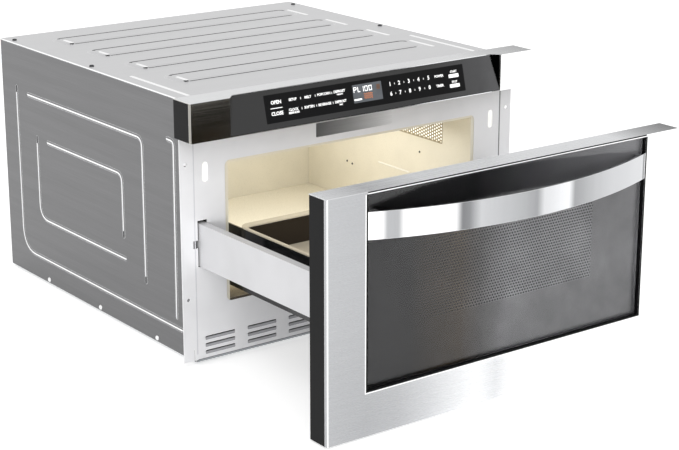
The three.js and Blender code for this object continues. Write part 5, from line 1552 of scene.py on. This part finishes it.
@dataclass
class ControlPanel:
    """The leaning glass with its printed film, legends and display."""

    bottom: float = 327.5
    top: float = 382.0
    depth: float = 40.0
    slope: float = 13.5
    glass_ahead: float = 0.4
    film: tuple[float, ...] = (-179.3, 175.2, 336.2, 374.4, 1.0, 4)
    window: tuple[float, ...] = (-29.2, 22.4, 344.2, 369.2, 0.8, 3)
    digits_high: float = 362.4
    digits_low: float = 348.9
    columns: tuple[float, ...] = (38.0, 54.5, 72.3, 90.2, 108.8)
    # Each legend has its middle (x, z) and its letters' height.
    legends: tuple[tuple[str, float, float, float], ...] = (
        ("OPEN", -160.0, 363.2, 4.9), ("CLOSE", -160.2, 348.2, 4.9),
        ("SETUP", -132.1, 363.6, 3.5), ("MELT", -106.4, 363.4, 3.5),
        ("POPCORN", -78.9, 363.9, 3.5), ("DEFROST", -52.0, 364.1, 3.5),
        ("WEIGHT", -51.8, 360.1, 2.1), ("CLOCK", -132.7, 350.1, 3.5),
        ("REMINDER", -132.3, 346.0, 2.8), ("SOFTEN", -105.9, 350.1, 3.5),
        ("BEVERAGE", -79.6, 350.1, 3.5), ("DEFROST", -52.0, 350.2, 3.5),
        ("TIME", -52.2, 346.1, 2.1),
        ("POWER", 128.5, 362.4, 3.5), ("TIMER", 128.3, 348.7, 3.7),
        ("START", 156.4, 365.6, 3.1), ("STOP", 156.2, 351.0, 3.1),
    )
    # The display's figures, each with its left side and its lit segments.
    figures: tuple[tuple[float, str], ...] = (
        (-27.6, "abefg"), (-20.4, "def"), (-15.0, "bc"), (-7.9, "abcdef"), (-0.6, "abcdef"),
    )

    def on_glass(self, x: float, z: float, proud: float) -> Point3:
        """A point over the glass, which leans back.

        Args:
            x: Its place across.
            z: Its height.
            proud: How far it stands off the glass.

        Returns:
            The point.
        """
        rise = self.top - self.bottom
        angle = math.atan2(self.slope, rise)
        face = self.glass_ahead - self.depth + self.slope * (z - self.bottom) / rise
        return (x, face - proud * math.cos(angle), z + proud * math.sin(angle))

    def slab(self, solid: Solid, outline: Sequence[Point2], low: float, high: float) -> None:
        """Adds an outline in (x, z) as a thin slab that follows the glass."""
        flat = Solid().prism(outline, Plane.FRONT, low, high)
        solid.add([self.on_glass(x, z, proud) for x, proud, z in flat.points], flat.faces)

    def print_legends(self) -> None:
        """The legends, in two rows either side of the display."""
        letters = Solid()
        numbers = zip("1234567890", self.columns * 2, [self.digits_high] * 5 + [self.digits_low] * 5)
        for words, x, z, height in (*self.legends, *((*number, 5.6) for number in numbers)):
            data = bpy.data.curves.new("legend", "FONT")
            data.body = words
            data.align_x, data.align_y = "CENTER", "CENTER"
            data.size = height * 1.38
            data.space_character = 0.98
            data.extrude = 0.03
            data.offset = height * 0.045
            data.resolution_u = 2
            legend = place_object("legend", data)
            bpy.context.view_layer.update()
            mesh = legend.to_mesh()
            points = [self.on_glass(x + v.co.x, z + v.co.y, 0.1 + v.co.z) for v in mesh.vertices]
            letters.add(points, [tuple(p.vertices) for p in mesh.polygons])
            legend.to_mesh_clear()
            bpy.data.objects.remove(legend)
            bpy.data.curves.remove(data)
        letters.build("printed_legends", Stock.INK, "white_plastic", smooth=20)

    def print_marks(self) -> None:
        """The dashes between the legends, and the bars of the larger keys."""
        dashes = [(x, z, 1.5) for x in (-118.7, -93.8, -65.2) for z in (363.6, 350.1)]
        for a, b in zip(self.columns, self.columns[1:]):
            dashes += [((a + b) / 2, z, 1.2) for z in (self.digits_high, self.digits_low)]
        bars = [(x - 0.4, x + 0.4, z - tall, z + tall, 0.3, 2) for x, z, tall in dashes]
        bars.append((-170.5, -150.5, 355.1, 356.1, 0.4, 2))
        bars += [(146.5, 165.3, z - 2.55, z + 2.55, 0.7, 3) for z in (359.8, 345.7)]
        marks = Solid()
        for bar in bars:
            self.slab(marks, rounded_rectangle(*bar), 0.1, 0.16)
        marks.build("printed_marks", Stock.INK, "white_plastic")

    def digit(self, solid: Solid, x: float, shape: str, z: float = 358.6, size: float = 7.4) -> None:
        """Adds one seven-segment figure.

        Args:
            solid: The mesh it goes in.
            x: Its left side.
            shape: The lit segments, from a to g.
            z: Its foot.
            size: Its height.
        """
        line = size * 0.15
        right, mid, high = x + size * 0.74, z + size / 2, z + size
        bars = {
            "a": (x + line, right - line, high - line, high),
            "g": (x + line, right - line, mid - line / 2, mid + line / 2),
            "d": (x + line, right - line, z, z + line),
            "f": (x, x + line, mid, high),
            "b": (right - line, right, mid, high),
            "e": (x, x + line, z, mid),
            "c": (right - line, right, z, mid),
        }
        for segment in shape:
            x0, x1, z0, z1 = bars[segment]
            outline = rounded_rectangle(x0 + 0.05, x1 - 0.05, z0 + 0.05, z1 - 0.05, 0.2, 1)
            self.slab(solid, outline, 0.26, 0.32)

    def display(self) -> None:
        """The backlit display with its figures, icon and level bar."""
        window, lit, icon, level = (Solid() for _ in range(4))
        self.slab(window, rounded_rectangle(*self.window), 0.08, 0.2)
        window.build("display_window", Stock.LCD, "gloss_black")
        for x, shape in self.figures:
            self.digit(lit, x, shape)
        self.slab(lit, rounded_rectangle(-28.2, -14.9, 347.5, 349.7, 0.3, 2), 0.26, 0.32)
        lit.build("display_figures", Stock.SEGMENT, "white_plastic")
        for z in (349.3, 352.2, 355.1):
            wave = [(-10.4 + x * 0.76, z + math.sin(x * 1.26)) for x in range(21)]
            outline = [(x, y - 0.3) for x, y in wave] + [(x, y + 0.3) for x, y in reversed(wave)]
            self.slab(icon, outline, 0.26, 0.32)
        icon.build("display_heat_icon", Stock.ICON, "white_plastic")
        self.slab(level, rounded_rectangle(13.1, 19.5, 358.6, 365.6, 0.5, 2), 0.21, 0.25)
        level.build("display_level_mark", Stock.DIM, "gloss_black")

    def build(self) -> None:
        """Makes the control panel's pieces."""
        dress(["control_fascia"], Stock.FASCIA, 0.3)
        dress(["control_housing"], Stock.ABS_BLACK, 0.4)
        dress(["control_glass"], Stock.PANEL_GLASS, 0.3)
        dress(["display_module"], Stock.ABS_BLACK, 0.3)
        dress(["control_board"], Stock.BOARD, 0.1)
        film, edges = Solid(), Solid()
        self.slab(film, rounded_rectangle(*self.film), 0.0, 0.07)
        film.build("printed_film", Stock.FILM, "gloss_black")
        # Near-white strips along the fascia's end edges, as painted highlights.
        across = (303.0, 303.0, 243.0, 243.0, 300.4, 300.4)
        up = (327.6, 381.9, 381.9, 379.6, 379.6, 327.6)
        for side in (-1, 1):
            self.slab(edges, [(side * x, z) for x, z in zip(across, up)], 0.42, 0.5)
        edges.build("fascia_edge_highlights", Stock.EDGE_HIGHLIGHT, "stainless")
        self.print_legends()
        self.print_marks()
        self.display()


# ------------------------------------------------------------------ drawer


@dataclass
class DrawerFront:
    """The stainless drawer front round its tinted window."""

    face_half: float = 303.0
    foot: float = -1.7
    head: float = 320.8
    window_half: float = 240.2
    window_foot: float = 59.8
    face: float = -39.2 - OPENING
    recess: float = 7.0
    line: float = 1.7

    def frame_of(self, solid: Solid, inner: Point3, line: float, face: float) -> None:
        """Adds a thin flat frame that is open at its top.

        Args:
            solid: The mesh it goes in.
            inner: Its opening's half width, foot and head.
            line: How wide the frame is.
            face: The face that it lies on.
        """
        half, foot, head = inner
        left, right, low = -half - line, half + line, foot - line
        outline = [
            (left, low), (right, low), (right, head), (half, head),
            (half, foot), (-half, foot), (-half, head), (left, head),
        ]
        solid.prism(outline, Plane.FRONT, face - 0.1, face - 0.02)

    def lines(self) -> None:
        """Near-white strips on the skin's folded edges, as painted highlights, and the dark seam round
        the glass.
        """
        bright, seam = Solid(), Solid()
        front = (self.face - 0.1, self.face - 0.02)
        half, foot, head = self.window_half, self.window_foot, self.head
        self.frame_of(bright, (half + 2.1, foot - 2.1, head - 3.1), self.line, self.face)
        self.frame_of(seam, (half - 0.4, foot + 0.4, head - 3.1), 2.4, self.face)
        glass = self.face + self.recess
        self.frame_of(seam, (half - 0.8, foot + 2.0, head - 1.3), 0.7, glass)
        bright.box(-half, half, *front, head - 3.1, head - 1.75)
        seam.box(-half, half, *front, head - 1.7, head)
        for x in (-self.face_half, self.face_half - 2.2):
            bright.box(x, x + 2.2, *front, self.foot, head)
        bright.build("skin_edge_highlights", Stock.EDGE_HIGHLIGHT, "stainless", "drawer")
        seam.build("glass_seam", Stock.GASKET, "black_plastic", "drawer")

    def build(self) -> None:
        """Dresses the drawer front."""
        dress(["door_skin"], Stock.STAINLESS, 0.35)
        dress(["door_frame"], Stock.ABS_BLACK, 0.4)
        dress(["door_glass"], Stock.DOOR_GLASS, 0.25)
        dress(["door_screen"], Stock.SCREEN)
        dress(["door_inner_panel"], Stock.INNER_BLACK, 0.2)
        dress(["choke_cover"], Stock.SEAL, 0.3)
        dress(both("latch_hook"), Stock.ABS_WHITE, 0.3)
        self.lines()
        rows = (16, 110, 210, 304)
        seats = [((x, -2.0 - OPENING, z), (0, 1, 0)) for x in (-286, 286) for z in rows]
        screws("inner_panel_screws", seats, body="drawer")


@dataclass
class BowedHandle:
    """A bowed strap that stands on the glass at both ends."""

    reach: float = 240.2
    bow: float = 47.3
    face: float = -39.2 - OPENING
    foot: float = -32.5 - OPENING
    thickness: float = 4.0
    bottom: float = 259.0
    height: float = 36.0
    boss: float = 16.0
    steps: int = 96

    @property
    def radius(self) -> float:
        """The radius that the strap's face is bowed to."""
        return (self.reach**2 + self.bow**2) / (2 * self.bow)

    def curve(self, inset: float, far: float) -> list[Point2]:
        """Points along the strap's bow, seen from above.

        Args:
            inset: How far behind its face.
            far: The angle from its middle to either end, in radians.

        Returns:
            The points, from left to right.
        """
        middle = (0.0, self.face - self.bow + self.radius)
        step = 2 * far / self.steps
        return arc(middle, self.radius - inset, -far - math.pi / 2, step, self.steps + 1)

    def build(self) -> None:
        """Makes the strap, and the black strip that lines its inner side, as painted shade."""
        reach, foot, back = self.reach, self.foot, self.thickness
        boss, inner = reach - self.boss, self.radius - back
        outline = [(-reach, foot), *self.curve(0.0, math.asin(reach / self.radius))]
        outline += [(reach, foot), (boss, foot)]
        outline += [*reversed(self.curve(back, math.asin(boss / inner))), (-boss, foot)]
        strap = Solid().prism(outline, Plane.PLAN, self.bottom, self.bottom + self.height)
        strap.build("bowed_handle", Stock.STRAP, "stainless", "drawer", ["handle"], 1.3, 30)
        # The black strip stands in for the strap's shaded inner side, so that the glass mirrors it dark.
        far = math.asin((boss - 1) / inner)
        outline = self.curve(back + 0.02, far) + self.curve(back + 0.7, far)[::-1]
        low, high = self.bottom + 1.6, self.bottom + self.height - 1.6
        shaded_backing = Solid().prism(outline, Plane.PLAN, low, high)
        shaded_backing.build("handle_backing_painted_shade", Stock.TUB_BLACK, "black_plastic", "drawer")


@dataclass
class Tub:
    """The drawer's tub, its cream rim and the tray that food stands on."""

    liner: tuple[float, ...] = (-203.8, 203.8, 150.2, 187.6, 1.0)
    rear: float = 286.5 - OPENING

    def build(self) -> None:
        """Dresses the tub."""
        outline = rounded_rectangle(*self.liner)
        liner = Solid().prism(outline, Plane.FRONT, self.rear - 0.6, self.rear - 0.05)
        liner.build("tub_rear_liner", Stock.DARK_LINER, "gloss_black", "drawer")
        dress(["tub_wall", "tub_floor"], Stock.TUB_BLACK, 0.5)
        dress(["tub_rim"], Stock.RIM_CREAM, 0.6)
        dress(["tub_tray"], Stock.RIM_CREAM, 0.5)


@dataclass
class Slides:
    """The drawer's arms, telescopic slides, rack and pinion."""

    def build(self) -> None:
        """Dresses the slides and the drive."""
        dress(both("drawer_arm"), Stock.ARM_GREY, 0.5)
        rails = [*both("fixed_rail"), *both("middle_rail"), *both("inner_rail")]
        dress([*rails, *both("slide_bracket")], Stock.ZINC, 0.25)
        dress(["drive_rack", "drive_pinion"], Stock.NYLON, 0.15)
        dress(["drive_motor"], Stock.ZINC, 0.4)


@dataclass
class Works:
    """What stands behind the cavity: supply, magnetron, fan and switches."""

    def build(self) -> None:
        """Dresses the works."""
        dress(["waveguide", "magnetron", "fan_motor", "hv_capacitor", "stirrer"], Stock.ZINC, 0.3)
        dress(["transformer_core"], Stock.LAMINATION, 0.3)
        dress(["transformer_coils"], Stock.COPPER, 0.6)
        dress(["fan_shroud", "fan_rotor"], Stock.ABS_BLACK, 0.3)
        dress(["stirrer_motor", "oven_lamp"], Stock.ABS_WHITE, 0.4)
        # The switches glow as painted light for light through the latch slots.
        dress(both("interlock_switch"), Stock.ACETAL_PAINTED_GLOW, 0.3)
        dress(["power_board"], Stock.BOARD, 0.1)


# ------------------------------------------------------------------ the whole


def corners() -> list[list[float]]:
    """The shown object's box as two plain lists, its lowest and highest corner."""
    return [[round(c, 6) for c in corner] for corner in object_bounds()]


def main() -> None:
    """Builds the studio and the appliance in order."""
    logging.basicConfig(level=logging.INFO, format="%(message)s")
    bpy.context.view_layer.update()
    assemblies = [
        Studio(), CabinetShell(), FrontFrame(), CavityLiner(), ControlPanel(),
        DrawerFront(), BowedHandle(), Tub(), Slides(), Works(),
    ]
    for assembly in assemblies:
        assembly.build()
        log.info("built %s", type(assembly).__name__)


if __name__ == "__main__":
    main()
